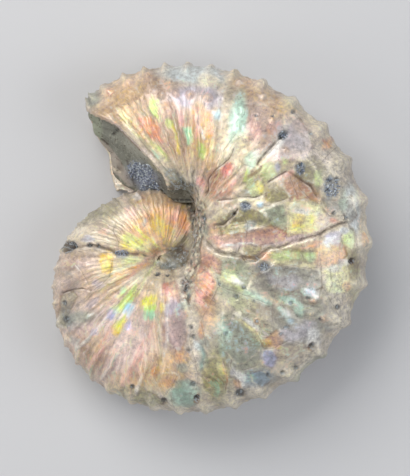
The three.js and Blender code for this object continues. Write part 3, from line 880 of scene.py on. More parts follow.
# %% Palette
PALETTE = {
    "white": (250, 247, 240), "cream": (238, 226, 200), "beige": (212, 198, 176),
    "tan": (212, 180, 146), "rosy tan": (202, 176, 158), "taupe": (172, 168, 156),
    "grey": (166, 168, 152), "green grey": (168, 174, 150), "mint grey": (172, 198, 178),
    "blue grey": (158, 172, 180), "lavender": (192, 186, 198), "pale rose": (226, 206, 200),
    "rose brown": (200, 160, 140), "rose": (232, 140, 136), "pink": (246, 194, 184),
    "salmon": (244, 182, 154), "peach": (240, 200, 166), "orange": (232, 152, 88),
    "orange brown": (198, 156, 126), "brown": (132, 96, 68), "dark brown": (72, 54, 40),
    "black": (34, 32, 32), "olive": (156, 146, 108), "khaki": (168, 160, 128),
    "gold": (240, 204, 122), "yellow": (250, 236, 136), "pale yellow": (250, 242, 192),
    "lime": (210, 232, 146), "pale lime": (222, 236, 178), "mint": (178, 234, 198),
    "pale mint": (208, 238, 218), "teal": (104, 158, 158), "sky": (160, 212, 236),
    "pale sky": (204, 226, 234), "lilac": (184, 186, 214), "mauve": (180, 158, 154),
    "steel": (92, 106, 120), "dark steel": (56, 64, 72), "mist": (206, 214, 214),
    "dark olive": (116, 112, 88), "mud": (136, 136, 124), "mud dark": (98, 94, 80),
    "mud pale": (176, 174, 160), "rock rose": (176, 164, 152), "steel lavender": (140, 146, 164),
}


def linear(name):
    """A palette colour as the linear values that shaders work in."""
    share = np.array(PALETTE[name]) / 255
    return np.where(share <= 0.04045, share / 12.92, ((share + 0.055) / 1.055) ** 2.4)


print("palette:", len(PALETTE), "colours")

# %% Ground colours
# x, y, half length, half width and angle of each patch, in pixels of the photograph and degrees
GROUND = [
    ("tan", 128, 96, 44, 24, 42), ("rosy tan", 172, 118, 26, 44, 20),
    ("lavender", 195, 97, 24, 12, 4), ("mist", 196, 74, 36, 9, -3), ("cream", 208, 80, 10, 6, 0),
    ("tan", 202, 140, 12, 44, 4), ("tan", 264, 98, 46, 12, -36),
    ("pale rose", 256, 126, 14, 26, 12), ("pale mint", 238, 122, 8, 28, -6),
    ("cream", 248, 152, 24, 18, -10), ("pale rose", 292, 142, 34, 22, -38),
    ("cream", 292, 142, 24, 14, -38), ("rose brown", 218, 184, 15, 20, 35),
    ("khaki", 256, 184, 16, 14, 30), ("beige", 320, 146, 18, 8, -50),
    ("khaki", 314, 168, 11, 12, 0), ("beige", 343, 182, 9, 34, 12), ("mist", 352, 208, 7, 26, 4),
    ("orange brown", 301, 192, 21, 10, -16), ("olive", 275, 196, 10, 7, 20),
    ("olive", 238, 222, 30, 12, 14), ("green grey", 276, 217, 17, 12, 0),
    ("cream", 304, 215, 20, 14, -6), ("rose brown", 273, 232, 20, 7, 4),
    ("pale rose", 262, 241, 50, 5, 5), ("khaki", 296, 256, 26, 8, -4),
    ("taupe", 290, 283, 36, 20, -4), ("grey", 240, 342, 26, 34, 0),
    ("rose brown", 204, 284, 11, 38, 5), ("green grey", 232, 278, 20, 22, -20),
    ("khaki", 216, 376, 14, 26, 0), ("taupe", 300, 322, 34, 22, 20),
    ("blue grey", 258, 378, 18, 9, 10), ("beige", 290, 360, 20, 12, 30),
    ("peach", 331, 256, 17, 13, 0), ("cream", 334, 274, 15, 10, 0), ("khaki", 352, 272, 7, 34, 4),
    ("beige", 338, 306, 12, 20, 30), ("tan", 108, 338, 66, 58, 0),
    ("pale rose", 108, 340, 50, 40, 30), ("rosy tan", 84, 356, 30, 22, 40),
    ("rosy tan", 82, 280, 34, 30, 0), ("rosy tan", 68, 300, 12, 40, 0), ("grey", 93, 98, 8, 9, 0),
    ("mauve", 175, 332, 13, 26, 4), ("tan", 176, 372, 18, 22, 0),
    ("mint grey", 184, 394, 15, 12, 10), ("khaki", 140, 396, 22, 8, -14),
    ("peach", 158, 232, 38, 26, 20), ("tan", 160, 200, 36, 8, -4), ("khaki", 95, 214, 24, 11, 22),
    ("beige", 100, 232, 22, 14, 20), ("tan", 188, 208, 10, 16, 0), ("cream", 130, 270, 30, 14, 10),
    ("grey", 72, 320, 7, 22, -78), ("green grey", 316, 370, 24, 10, 34),
]
print("ground patches:", len(GROUND))

# %% Dabs
# x, y, half length, half width and angle, and how strong: flashes of nacre, and stains. The white
# dabs are painted highlights, and so are the cream and pale yellow ones at about 310, 207.
DABS = [
    ("peach", 109, 91, 5, 3, 30, 0.8), ("peach", 129, 82, 5, 3, 30, 0.8),
    ("peach", 148, 75, 4, 3, 10, 0.8), ("white", 162, 96, 4, 4, 0, 0.5),
    ("white", 208, 98, 4, 4, 0, 0.5), ("salmon", 150, 128, 10, 7, -50, 0.8),
    ("lime", 153, 104, 3, 8, 10, 0.7), ("mint", 158, 155, 3, 7, 45, 0.6),
    ("lime", 169, 124, 5, 4, 0, 0.7), ("mint", 191, 136, 4, 7, 5, 0.7),
    ("pink", 181, 119, 3, 7, 10, 0.7), ("salmon", 210, 124, 3, 11, 5, 0.7),
    ("lime", 201, 150, 3, 8, 5, 0.8), ("rose", 200, 182, 4, 5, 0, 0.9),
    ("pink", 202, 193, 3, 4, 0, 0.8), ("cream", 210, 81, 6, 3, 0, 0.8),
    ("white", 239, 83, 4, 3, 0, 0.8), ("white", 263, 97, 4, 3, 0, 0.7),
    ("pale sky", 218, 114, 4, 5, 0, 0.8), ("pale mint", 240, 116, 6, 10, -16, 0.8),
    ("pink", 256, 132, 6, 14, 12, 0.5), ("salmon", 272, 129, 4, 6, 0, 0.6),
    ("white", 272, 150, 4, 15, -52, 0.95), ("lilac", 290, 138, 18, 10, -40, 0.4),
    ("white", 295, 116, 6, 4, 0, 0.7), ("pale mint", 232, 135, 3, 12, -14, 0.7),
    ("cream", 247, 145, 5, 7, 0, 0.8), ("pale mint", 252, 158, 7, 7, 0, 0.8),
    ("rose", 227, 169, 5, 6, 0, 0.6), ("yellow", 259, 187, 4, 8, 10, 0.6),
    ("pale lime", 268, 172, 8, 9, 30, 0.7), ("lilac", 278, 168, 3, 5, 0, 0.8),
    ("lime", 286, 162, 4, 4, 0, 0.8), ("sky", 260, 205, 3, 3, 0, 0.8),
    ("pink", 285, 176, 9, 3, 30, 0.7), ("lime", 318, 177, 4, 8, 0, 0.6),
    ("orange", 328, 143, 4, 7, -40, 0.6), ("orange", 364, 240, 3, 6, 0, 0.7),
    ("white", 303, 208, 16, 5, -4, 0.85), ("orange", 299, 220, 7, 6, 0, 0.5),
    ("yellow", 301, 228, 9, 4, 5, 0.6), ("yellow", 311, 220, 3, 10, 0, 0.5),
    ("pale rose", 322, 219, 7, 8, 0, 0.8), ("rose", 336, 222, 5, 3, -20, 0.6),
    ("blue grey", 251, 227, 5, 5, 0, 0.6), ("salmon", 212, 232, 5, 9, 0, 0.5),
    ("pink", 216, 241, 9, 4, -20, 0.7), ("teal", 205, 231, 3, 5, 0, 0.5),
    ("steel", 204, 219, 3, 5, 0, 0.7), ("salmon", 265, 254, 6, 4, -10, 0.9),
    ("peach", 330, 256, 13, 8, 0, 0.8), ("salmon", 310, 245, 10, 3, 6, 0.6),
    ("pale lime", 284, 256, 14, 4, 0, 0.7), ("mint", 312, 257, 5, 5, 0, 0.5),
    ("white", 335, 268, 8, 4, 0, 0.6), ("pale yellow", 335, 275, 10, 6, 0, 0.8),
    ("teal", 333, 286, 4, 3, 0, 0.6), ("orange", 346, 286, 4, 4, 0, 0.6),
    ("lilac", 331, 236, 6, 4, 0, 0.7), ("lime", 346, 240, 5, 5, 0, 0.7),
    ("white", 344, 231, 5, 3, 0, 0.8), ("steel", 263, 267, 8, 5, 0, 0.55),
    ("salmon", 207, 285, 7, 7, 0, 0.8), ("pink", 200, 297, 4, 7, 0, 0.9),
    ("pink", 213, 264, 4, 9, 30, 0.5), ("pale yellow", 226, 278, 6, 6, -40, 0.8),
    ("lime", 236, 286, 7, 3, -35, 0.6), ("olive", 233, 266, 7, 6, 0, 0.5),
    ("pale mint", 310, 294, 9, 3, -30, 0.9), ("mint grey", 222, 338, 4, 19, 3, 0.7),
    ("gold", 266, 343, 5, 6, 0, 0.6), ("lilac", 270, 358, 8, 9, 20, 0.5),
    ("cream", 285, 364, 6, 4, 0, 0.7), ("white", 311, 338, 7, 4, 40, 0.6),
    ("steel", 329, 328, 4, 4, 0, 0.4), ("orange", 237, 385, 3, 5, 0, 0.6),
    ("lilac", 233, 372, 3, 5, 0, 0.5), ("dark steel", 241, 393, 8, 3, 0, 0.5),
    ("peach", 212, 316, 5, 7, 0, 0.7), ("orange", 201, 332, 3, 8, 0, 0.6),
    ("teal", 203, 352, 6, 14, 0, 0.35), ("mint", 123, 290, 4, 4, 0, 0.6),
    ("lime", 127, 295, 7, 8, 30, 0.6), ("lime", 115, 308, 4, 4, 0, 0.6),
    ("lilac", 112, 313, 5, 5, 0, 0.6), ("sky", 129, 307, 4, 4, 20, 0.6),
    ("lilac", 127, 326, 4, 5, 0, 0.5), ("yellow", 118, 327, 5, 5, 30, 0.7),
    ("gold", 115, 333, 3, 3, 0, 0.6), ("yellow", 149, 301, 8, 4, 10, 0.95),
    ("lime", 150, 308, 8, 4, 10, 0.9), ("mint", 150, 315, 8, 5, 10, 0.8),
    ("yellow", 162, 308, 3, 5, 0, 0.8), ("rose", 166, 289, 4, 6, 10, 0.6),
    ("mauve", 177, 333, 7, 16, 0, 0.5), ("lilac", 173, 307, 8, 8, 0, 0.5),
    ("orange", 156, 370, 5, 6, 0, 0.5), ("orange", 182, 356, 8, 6, 0, 0.45),
    ("orange", 171, 384, 9, 6, 0, 0.4), ("lilac", 95, 331, 4, 4, 0, 0.5),
    ("mint grey", 184, 392, 11, 10, 0, 0.6), ("teal", 183, 368, 5, 4, 0, 0.5),
    ("pale sky", 197, 345, 6, 5, 0, 0.6), ("gold", 157, 220, 8, 5, 30, 0.7),
    ("salmon", 172, 218, 8, 5, 30, 0.7), ("pink", 177, 214, 8, 6, 30, 0.7),
    ("salmon", 186, 226, 3, 5, 0, 0.8), ("peach", 164, 235, 5, 5, 0, 0.7),
    ("sky", 144, 222, 3, 5, 0, 0.6), ("lime", 132, 241, 12, 6, -30, 0.65),
    ("yellow", 128, 246, 8, 4, -20, 0.6), ("pink", 130, 213, 7, 5, 30, 0.6),
    ("white", 136, 197, 4, 3, 0, 0.8), ("lilac", 88, 240, 5, 4, 0, 0.6),
    ("pink", 104, 232, 4, 5, 0, 0.6), ("gold", 106, 256, 9, 6, 0, 0.7),
    ("lime", 107, 265, 4, 5, 0, 0.6), ("pale lime", 128, 259, 8, 4, 0, 0.8),
    ("lilac", 98, 284, 7, 4, 0, 0.5), ("olive", 184, 250, 8, 11, 0, 0.7),
    ("blue grey", 171, 264, 9, 4, 0, 0.7), ("pink", 206, 256, 6, 5, 0, 0.4),
    ("orange", 195, 237, 2, 5, 0, 0.6), ("orange", 158, 212, 14, 5, 20, 0.25),
    ("orange", 183, 222, 4, 10, 0, 0.6), ("gold", 168, 238, 9, 9, 0, 0.5),
    ("pale yellow", 160, 228, 5, 12, 10, 0.6), ("gold", 150, 230, 10, 5, 30, 0.5),
    ("yellow", 140, 240, 10, 4, 30, 0.6), ("white", 236, 282, 9, 3, -35, 0.9),
    ("pale lime", 228, 276, 8, 6, -30, 0.7), ("white", 312, 292, 9, 4, -25, 0.9),
    ("pale mint", 300, 312, 6, 4, -30, 0.8), ("white", 286, 316, 6, 4, -50, 0.7),
    ("pale yellow", 340, 270, 9, 5, 10, 0.8), ("white", 344, 262, 6, 3, 0, 0.8),
    ("pale lime", 300, 256, 20, 4, -4, 0.7), ("white", 330, 240, 8, 3, 30, 0.8),
    ("cream", 310, 206, 14, 5, -4, 0.8), ("white", 318, 212, 5, 5, 0, 0.8),
    ("white", 315, 340, 8, 5, 30, 0.7), ("pale mint", 290, 300, 12, 4, -35, 0.8),
    ("white", 256, 326, 10, 3, -45, 0.8), ("white", 240, 376, 6, 4, -30, 0.8),
    ("pale yellow", 222, 372, 5, 14, 0, 0.5), ("pale lime", 244, 300, 14, 10, -30, 0.4),
    ("cream", 258, 312, 12, 7, -30, 0.5), ("mint", 216, 390, 3, 8, 0, 0.4),
    ("pale mint", 184, 304, 4, 5, 0, 0.4), ("mint", 344, 200, 4, 10, 0, 0.3),
    ("white", 268, 154, 9, 4, 45, 1), ("white", 279, 142, 6, 4, 50, 0.9),
    ("pale yellow", 310, 208, 12, 4, -5, 1), ("white", 304, 210, 8, 3, 0, 1),
    ("white", 327, 245, 4, 3, -40, 0.9), ("white", 336, 268, 7, 3, 20, 0.9),
    ("lavender", 296, 332, 18, 9, 20, 0.7), ("white", 314, 334, 6, 5, 0, 0.9),
    ("pale sky", 291, 322, 4, 3, 0, 0.9), ("lavender", 285, 280, 20, 8, 0, 0.5),
    ("pale sky", 312, 290, 5, 4, 0, 0.8), ("white", 250, 322, 8, 2, -35, 0.9),
    ("pale mint", 226, 330, 3, 14, 15, 0.8), ("pale lime", 252, 187, 4, 10, 25, 0.7),
    ("pale yellow", 244, 200, 12, 3, 0, 0.7), ("white", 256, 153, 4, 7, 10, 0.7),
    ("lavender", 216, 102, 12, 6, 0, 0.7), ("pale rose", 176, 110, 8, 8, 0, 0.6),
    ("white", 82, 344, 10, 2, 42, 0.7), ("pink", 96, 358, 12, 3, 48, 0.6),
    ("white", 110, 366, 12, 2, 52, 0.7), ("pink", 126, 378, 12, 3, 62, 0.6),
    ("white", 140, 382, 11, 2, 68, 0.6), ("pale rose", 74, 326, 9, 3, 36, 0.7),
    ("white", 70, 272, 8, 3, 0, 0.5), ("pale rose", 84, 264, 12, 6, 10, 0.6),
    ("lilac", 92, 304, 6, 4, 40, 0.4), ("pale mint", 86, 372, 8, 5, -40, 0.3),
    ("pale sky", 76, 342, 6, 5, -50, 0.4), ("pale mint", 120, 398, 10, 5, -30, 0.4),
]
print("dabs:", len(DABS))

# %% Streaks
# how strong, half width in pixels, and the path. The white streaks are painted highlights, and so are
# the cream and pale rose ones along the long crack's edge and the pale yellow one on the grey
# plate's rim at 238, 318.
STREAKS = [
    ("pale yellow", 0.8, 1.7, [(113, 103), (140, 129), (168, 160)]),
    ("lime", 0.7, 1.8, [(118, 112), (132, 128), (145, 142)]),
    ("salmon", 0.7, 1.8, [(130, 120), (150, 145)]),
    ("pale yellow", 0.9, 2.0, [(150, 140), (168, 165)]),
    ("lime", 0.8, 1.8, [(157, 145), (170, 163)]), ("lime", 0.7, 1.8, [(155, 110), (160, 125)]),
    ("yellow", 0.8, 1.8, [(172, 123), (177, 135), (179, 158)]),
    ("pale yellow", 0.8, 1.6, [(190, 130), (193, 160)]),
    ("pink", 0.8, 2.0, [(194, 105), (197, 118), (200, 135)]),
    ("white", 0.8, 1.3, [(200, 125), (205, 140)]),
    ("pale yellow", 0.7, 1.5, [(213, 138), (211, 160)]),
    ("dark brown", 0.8, 1.2, [(196, 165), (192, 178), (196, 190), (200, 200)]),
    ("pink", 0.7, 1.7, [(220, 200), (230, 190), (240, 178)]),
    ("lime", 0.7, 1.8, [(249, 167), (243, 185)]),
    ("dark brown", 0.7, 1.0, [(205, 193), (209, 178), (217, 168), (228, 160)]),
    ("orange", 0.6, 1.6, [(321, 138), (330, 148)]),
    ("cream", 0.9, 1.4, [(222, 225), (228, 221), (233, 215)]),
    ("white", 0.9, 1.2, [(217, 247), (245, 243), (262, 245)]),
    ("pale rose", 0.8, 1.4, [(262, 245), (285, 239), (305, 233)]),
    ("cream", 0.9, 1.5, [(297, 242), (320, 239)]),
    ("pale yellow", 0.9, 2.8, [(268, 261), (300, 265), (318, 267)]),
    ("pink", 0.8, 1.4, [(298, 249), (320, 244)]), ("white", 0.8, 1.8, [(325, 238), (335, 245)]),
    ("pale mint", 0.9, 4.0, [(242, 291), (258, 298), (274, 306)]),
    ("pale mint", 0.9, 3.4, [(278, 305), (290, 322)]),
    ("white", 0.9, 3.0, [(303, 289), (312, 293), (320, 299)]),
    ("pale yellow", 0.9, 4.5, [(220, 274), (232, 283), (244, 292)]),
    ("pale yellow", 0.9, 3.2, [(238, 318), (255, 330), (262, 345)]),
    ("orange", 0.7, 1.4, [(222, 360), (227, 380), (226, 390)]),
    ("white", 0.7, 1.8, [(230, 365), (238, 376), (245, 390)]),
    ("teal", 0.5, 2.4, [(199, 335), (204, 355), (200, 375)]),
    ("cream", 0.8, 1.5, [(156, 300), (160, 325), (161, 345), (160, 360)]),
    ("pink", 0.6, 1.8, [(145, 335), (137, 355), (130, 372)]),
    ("dark brown", 0.7, 1.4, [(62, 293), (75, 289), (90, 291)]),
    ("pale yellow", 0.8, 2.0, [(174, 229), (174, 245)]),
    ("yellow", 0.9, 1.5, [(133, 224), (145, 237), (155, 244)]),
    ("yellow", 0.8, 1.5, [(140, 232), (158, 248)]),
    ("pale yellow", 0.7, 1.5, [(150, 236), (163, 255)]),
    ("gold", 0.8, 1.5, [(112, 255), (113, 275)]),
    ("orange", 0.6, 1.4, [(110, 278), (130, 268), (150, 262)]),
    ("pale yellow", 0.8, 1.5, [(95, 293), (120, 278), (135, 272)]),
    ("white", 0.9, 1.4, [(75, 266), (80, 271)]),
    ("pale rose", 0.8, 1.5, [(108, 117), (128, 137), (160, 165)]),
    ("pink", 0.5, 2.2, [(165, 250), (142, 262), (118, 290)]),
    ("lime", 0.5, 1.8, [(168, 252), (150, 270), (135, 300)]),
    ("pale rose", 0.6, 1.5, [(150, 270), (133, 310), (112, 352)]),
    ("pale rose", 0.6, 1.5, [(140, 268), (112, 300), (88, 326)]),
    ("white", 0.5, 1.4, [(120, 300), (96, 330), (76, 350)]),
    ("pink", 0.5, 1.6, [(160, 300), (150, 335), (135, 372)]),
    ("white", 0.5, 1.4, [(168, 290), (168, 330), (162, 372)]),
    ("salmon", 0.4, 2.0, [(118, 320), (96, 350)]), ("cream", 0.6, 1.6, [(128, 340), (106, 372)]),
]
print("streaks:", len(STREAKS))

# %% Dirt, dust and flashing places
# as the dabs, but dull: bare rock and stains. The dark mud dab at 181, 188 is painted shade below
# the hook's near lip, and the brown and dark mud dabs at 182, 252 and 177, 254 are the umbilicus's
# rock, painted darker as shade of the inner whorl's wall.
DIRT = [
    ("dark brown", 68, 246, 8, 6, 0, 0.9), ("black", 72, 247, 4, 3, 0, 0.9),
    ("black", 89, 245, 3, 2, 0, 0.9), ("steel", 122, 253, 7, 4, 0, 0.8),
    ("steel", 246, 206, 5, 5, 0, 0.8), ("steel", 301, 168, 5, 6, 0, 0.7),
    ("steel", 331, 187, 8, 11, 0, 0.6), ("dark steel", 283, 135, 5, 5, 0, 0.9),
    ("brown", 352, 261, 3, 4, 0, 0.9), ("brown", 311, 347, 4, 5, 0, 0.9),
    ("brown", 197, 398, 3, 5, 0, 0.8), ("brown", 248, 258, 14, 4, 0, 0.6),
    ("dark steel", 185, 285, 4, 7, 0, 0.7), ("dark steel", 158, 274, 3, 2, 0, 0.7),
    ("dark steel", 168, 275, 2, 2, 0, 0.7), ("brown", 182, 252, 6, 12, 40, 0.6),
    ("mud dark", 177, 254, 8, 15, 40, 0.7), ("mud", 165, 264, 8, 5, 0, 0.6),
    ("olive", 196, 225, 5, 24, 0, 0.6), ("steel", 67, 316, 6, 16, 12, 0.3),
    ("mud dark", 181, 188, 15, 9, -30, 0.9), ("mud", 172, 175, 12, 5, -25, 0.7),
    ("mud", 186, 196, 5, 8, 0, 0.8), ("brown", 196, 214, 2, 5, 0, 0.7),
    ("dark brown", 193, 226, 2, 4, 0, 0.6), ("brown", 197, 240, 2, 6, 0, 0.6),
]
# x, y, half length, half width and angle of each place where the nacre flashes in streaks
FLASHING = [
    (150, 128, 34, 17, -48), (180, 134, 20, 30, 0), (205, 136, 15, 32, 0), (236, 150, 20, 22, -20),
    (222, 182, 18, 16, 30), (160, 226, 34, 20, 10), (132, 242, 28, 13, -20), (118, 268, 30, 12, 25),
    (124, 304, 26, 22, 50), (155, 312, 12, 24, 0), (305, 220, 22, 16, 0), (335, 266, 16, 22, 0),
    (285, 298, 34, 8, -28), (262, 335, 10, 24, 30), (216, 384, 20, 14, 0), (205, 285, 14, 26, 0),
    (100, 350, 36, 26, 40), (140, 370, 30, 22, 60), (290, 252, 32, 7, 6), (255, 172, 20, 12, 30),
]
# x, y, half length, half width and angle of each dusty, worn place
DUSTY = [
    (196, 232, 9, 36, 0), (186, 278, 7, 18, 0), (70, 300, 14, 26, 10), (88, 216, 26, 9, 25),
    (192, 360, 8, 50, 0), (340, 300, 16, 50, 10), (240, 392, 30, 9, 5), (320, 352, 26, 10, 38),
    (92, 100, 12, 12, 0), (200, 172, 9, 20, 0), (320, 160, 16, 30, 40), (345, 190, 9, 50, 8),
    (120, 196, 24, 7, 10), (150, 398, 40, 9, -10), (330, 190, 12, 16, 0), (176, 250, 14, 14, 0),
    (182, 252, 9, 16, 0),
]
print("dirt:", len(DIRT), "flashing places:", len(FLASHING), "dusty places:", len(DUSTY))

# %% Ways to lay a colour on
GROUND_STRENGTH, SHARD_STRENGTH, FLASH_STRENGTH, DAB_STRENGTH = 0.9, 0.68, 0.8, 0.78


def mix(a, b, amount):
    return a + (b - a) * amount[:, None]


def frayed(mask, strength, grain):
    """A mark's strength, frayed along the ribs as the streaks of real nacre are."""
    return strength * smooth(0.05, 1.0, mask + 0.6 * grain * smooth(0, 0.3, mask))


phase = rib_place(turn, flank) + WANDER_SHARE * wander + JITTER_SHARE * jitter
across = flank * section_frame(turn)[2]
side = np.where(upper, 1.0, -1.0)
grain = noise_at(np.stack([phase * 4.5, across * 0.3, side * 2], 1), 1.0, seed=8) * 1.4
paint_place = place + 1.1 * uneven + 1.6 * slow
shard_place = place + 0.9 * uneven + 0.6 * slow
print("ribs to paint along:", round(float(phase.max() - phase.min())))

# %% Ground and shards, with painted highlight and shade along their edges
paint = np.tile(linear("beige"), (len(place), 1))
for name, *shape in GROUND:
    paint = mix(paint, linear(name), GROUND_STRENGTH * spot(paint_place, *shape, soft=0.4))
for name, _, outline in SHARDS:
    paint = mix(paint, linear(name), SHARD_STRENGTH * within(shard_place, outline, soft=1.2))
    # Each shard's outline gets a thin painted highlight in cream where a slow noise is high, and a
    # thin painted shade in brown where it is low.
    edge = bump(line_distance(shard_place, [*outline, outline[0]])[0], 0.9)
    lit = smooth(-0.15, 0.2, slow[:, 1])
    paint = mix(paint, linear("cream"), 0.6 * edge * lit)
    paint = mix(paint, linear("brown"), 0.5 * edge * (1 - lit))
print("painted:", len(GROUND) + len(SHARDS), "patches of ground")

# %% Flashes, streaks and dabs
for name, outline in FLASHES:
    mask = within(paint_place, outline, soft=3)
    paint = mix(paint, linear(name), frayed(mask, FLASH_STRENGTH, 0.8 * grain))
for name, strength, half_width, path in STREAKS:
    distance, share = line_distance(paint_place, path)
    taper = smooth(-0.01, 0.15, share) * (1 - smooth(0.8, 1.01, share))
    fibres = np.clip(1 + 0.8 * grain, 0.2, 1)
    paint = mix(paint, linear(name), bump(distance, 0.8 * half_width) * taper * strength * fibres)
for name, *shape, strength in DABS:
    mask = spot(paint_place, *shape, soft=0.7)
    paint = mix(paint, linear(name), frayed(mask, DAB_STRENGTH * strength, grain))
for x, y, half_width in NODES:
    distance = np.hypot(place[:, 0] - x, place[:, 1] - y) / half_width
    paint = mix(paint, linear("rose brown"), 0.4 * bump(distance - 1.2, 0.3))
    paint = mix(paint, linear("peach"), 0.7 * bump(distance, 0.8))
print("painted:", len(FLASHES) + len(STREAKS) + len(DABS), "flashes, streaks and dabs")

# %% Dirt, pits and dust
bare = np.zeros(len(place))
for name, *shape, strength in DIRT:
    mask = frayed(spot(paint_place, *shape, soft=0.4), strength, uneven[:, 0]) * on_top
    paint = mix(paint, linear(name), mask)
    bare = np.maximum(bare, mask)
flashing = sum(spot(paint_place, *shape, soft=0.8) for shape in FLASHING)
near_pits = smooth(0.3, 1.0, pitted) * on_top
paint = mix(paint, linear("dark steel"), 0.7 * near_pits)
bare = np.maximum(bare, near_pits) * from_above
dusty = 0.5 * smooth(0.84, 0.97, flank) + 0.6 * (1 - smooth(1.0, 3.5, np.abs(crack))) * crack_on
for shape in DUSTY:
    dusty = np.maximum(dusty, spot(paint_place, *shape, soft=0.6))
for seed, name in enumerate(["brown", "mud", "rose brown", "dark steel", "cream"], start=70):
    paint = mix(paint, linear(name), 0.75 * gritty * smooth(0.18, 0.34, noise_at(points, 0.8, seed)))
dusty = np.clip(dusty + 0.35 * slow[:, 1], 0, 1)
print("bare points:", int((bare > 0.5).sum()), "dusty points:", int((dusty > 0.5).sum()))

# %% [markdown]
# ## The flank that lies underneath
#
# The photograph doesn't show this flank, and the same nacre covers it. It gets patches from the
# same palette, each where a slow noise of its own is high, and streaks of flash along its ribs.

# %% Colours underneath
UNDER_GROUND = ["tan", "rosy tan", "taupe", "khaki", "rose brown", "beige", "rosy tan", "lavender"]
UNDER_FLASHES = ["gold", "lime", "mint", "salmon", "sky", "pink", "pale yellow", "lilac"]

beneath = np.tile(linear("beige"), (len(place), 1))
for seed, name in enumerate(UNDER_GROUND, start=20):
    beneath = mix(beneath, linear(name), 0.8 * smooth(0.05, 0.4, noise_at(points, 9.0, seed)))
for seed, name in enumerate(UNDER_FLASHES, start=40):
    streaked = noise_at(np.stack([phase * 1.1, across * 0.15, side * 2], 1), 1.0, seed)
    beneath = mix(beneath, linear(name), 0.4 * smooth(0.28, 0.5, streaked + 0.3 * grain))
paint = mix(beneath, paint, from_above)
print("hidden flank: patches of", len(UNDER_GROUND), "colours, streaks of", len(UNDER_FLASHES))

# %% [markdown]
# ## Worn and highlighted crests, painted shade and sheen, and what the finish reads
#
# Tubercles are painted pale, as worn and with a painted highlight, the hollows between them get
# painted shade and dirt in brown, and broad bands of painted sheen follow the ribs. Then all that the
# finish needs to know is kept on the mesh as attributes.

# %% Attributes of the shell
BRIGHT, PAINTED_SHEEN = 1.04, 0.42  # the paint's mean brightness, and how far the satin bands swing it
FULL_RIB = 0.3  # the height in millimetres of a rib that the finish draws at full strength


def keep_attribute(piece, name, kind, values):
    """Values for every point of a mesh, which its finish reads by name."""
    attribute = piece.data.attributes.new(name, kind, "POINT")
    field = {"FLOAT": "value", "FLOAT_VECTOR": "vector", "FLOAT_COLOR": "color"}[kind]
    attribute.data.foreach_set(field, np.ascontiguousarray(values, dtype=np.float32).ravel())


# Bands of painted sheen along the ribs lighten and darken the paint, as a satin gloss would.
painted_sheen = noise_at(np.stack([phase * 1.5, across * 0.2, side * 2], 1), 1.0, seed=91)
paint = np.clip(paint * (BRIGHT + PAINTED_SHEEN * painted_sheen * skin)[:, None], 0, 0.95)
# Tubercle tips are painted cream: wear, and a painted highlight.
knob_wear_and_highlight = bump(rib_gap(turn, flank), KNOB_WIDTH) * bump(flank - TUBERCLE_AT, KNOB_REACH)
knob_wear_and_highlight = knob_wear_and_highlight * smooth(120, 200, turn)
paint = mix(paint, linear("cream"), 0.55 * knob_wear_and_highlight * skin)
# The hollows between the tubercles are painted brown: painted shade, and dirt.
valley_shade_and_dirt = smooth(0.25, 0.45, rib_gap(turn, flank)) * smooth(0.9, 0.96, flank) * skin
paint = mix(paint, linear("brown"), 0.25 * valley_shade_and_dirt * smooth(-0.3, 0.4, jitter))
keep_attribute(shell, "paint", "FLOAT_COLOR", np.column_stack([paint, np.ones(len(paint))]))
keep_attribute(shell, "growth", "FLOAT_VECTOR", np.column_stack([phase, across, side]))
keep_attribute(shell, "crack", "FLOAT_VECTOR", np.column_stack([crack, crack_width, crack_on]))
keep_attribute(shell, "bare", "FLOAT", bare)
ribbed = np.clip(along(ORNAMENT, turn, RIB) / FULL_RIB, 0, 1)
ribbed = ribbed * np.clip(0.75 + 1.2 * wander + 1.2 * slow[:, 0], 0.2, 1)
ribbed = np.maximum(ribbed, 0.7 * smooth(0.95, 0.985, flank)) * (1 - smooth(0.3, 0.9, in_umbilicus))
keep_attribute(shell, "ribbed", "FLOAT", ribbed)
keep_attribute(shell, "dusty", "FLOAT", dusty)
flashing = np.where(from_above > 0.5, np.clip(flashing, 0, 1), 0.6)
keep_attribute(shell, "flashing", "FLOAT", flashing)
print("attributes:", [kept.name for kept in shell.data.attributes if not kept.name.startswith(".")])

# %% [markdown]
# ## Finishes
#
# A finish is a graph of nodes, and long graphs are hard to read. This small class wraps one socket,
# so that sums and products of sockets are written as plain Python, and any other node comes from
# one method.

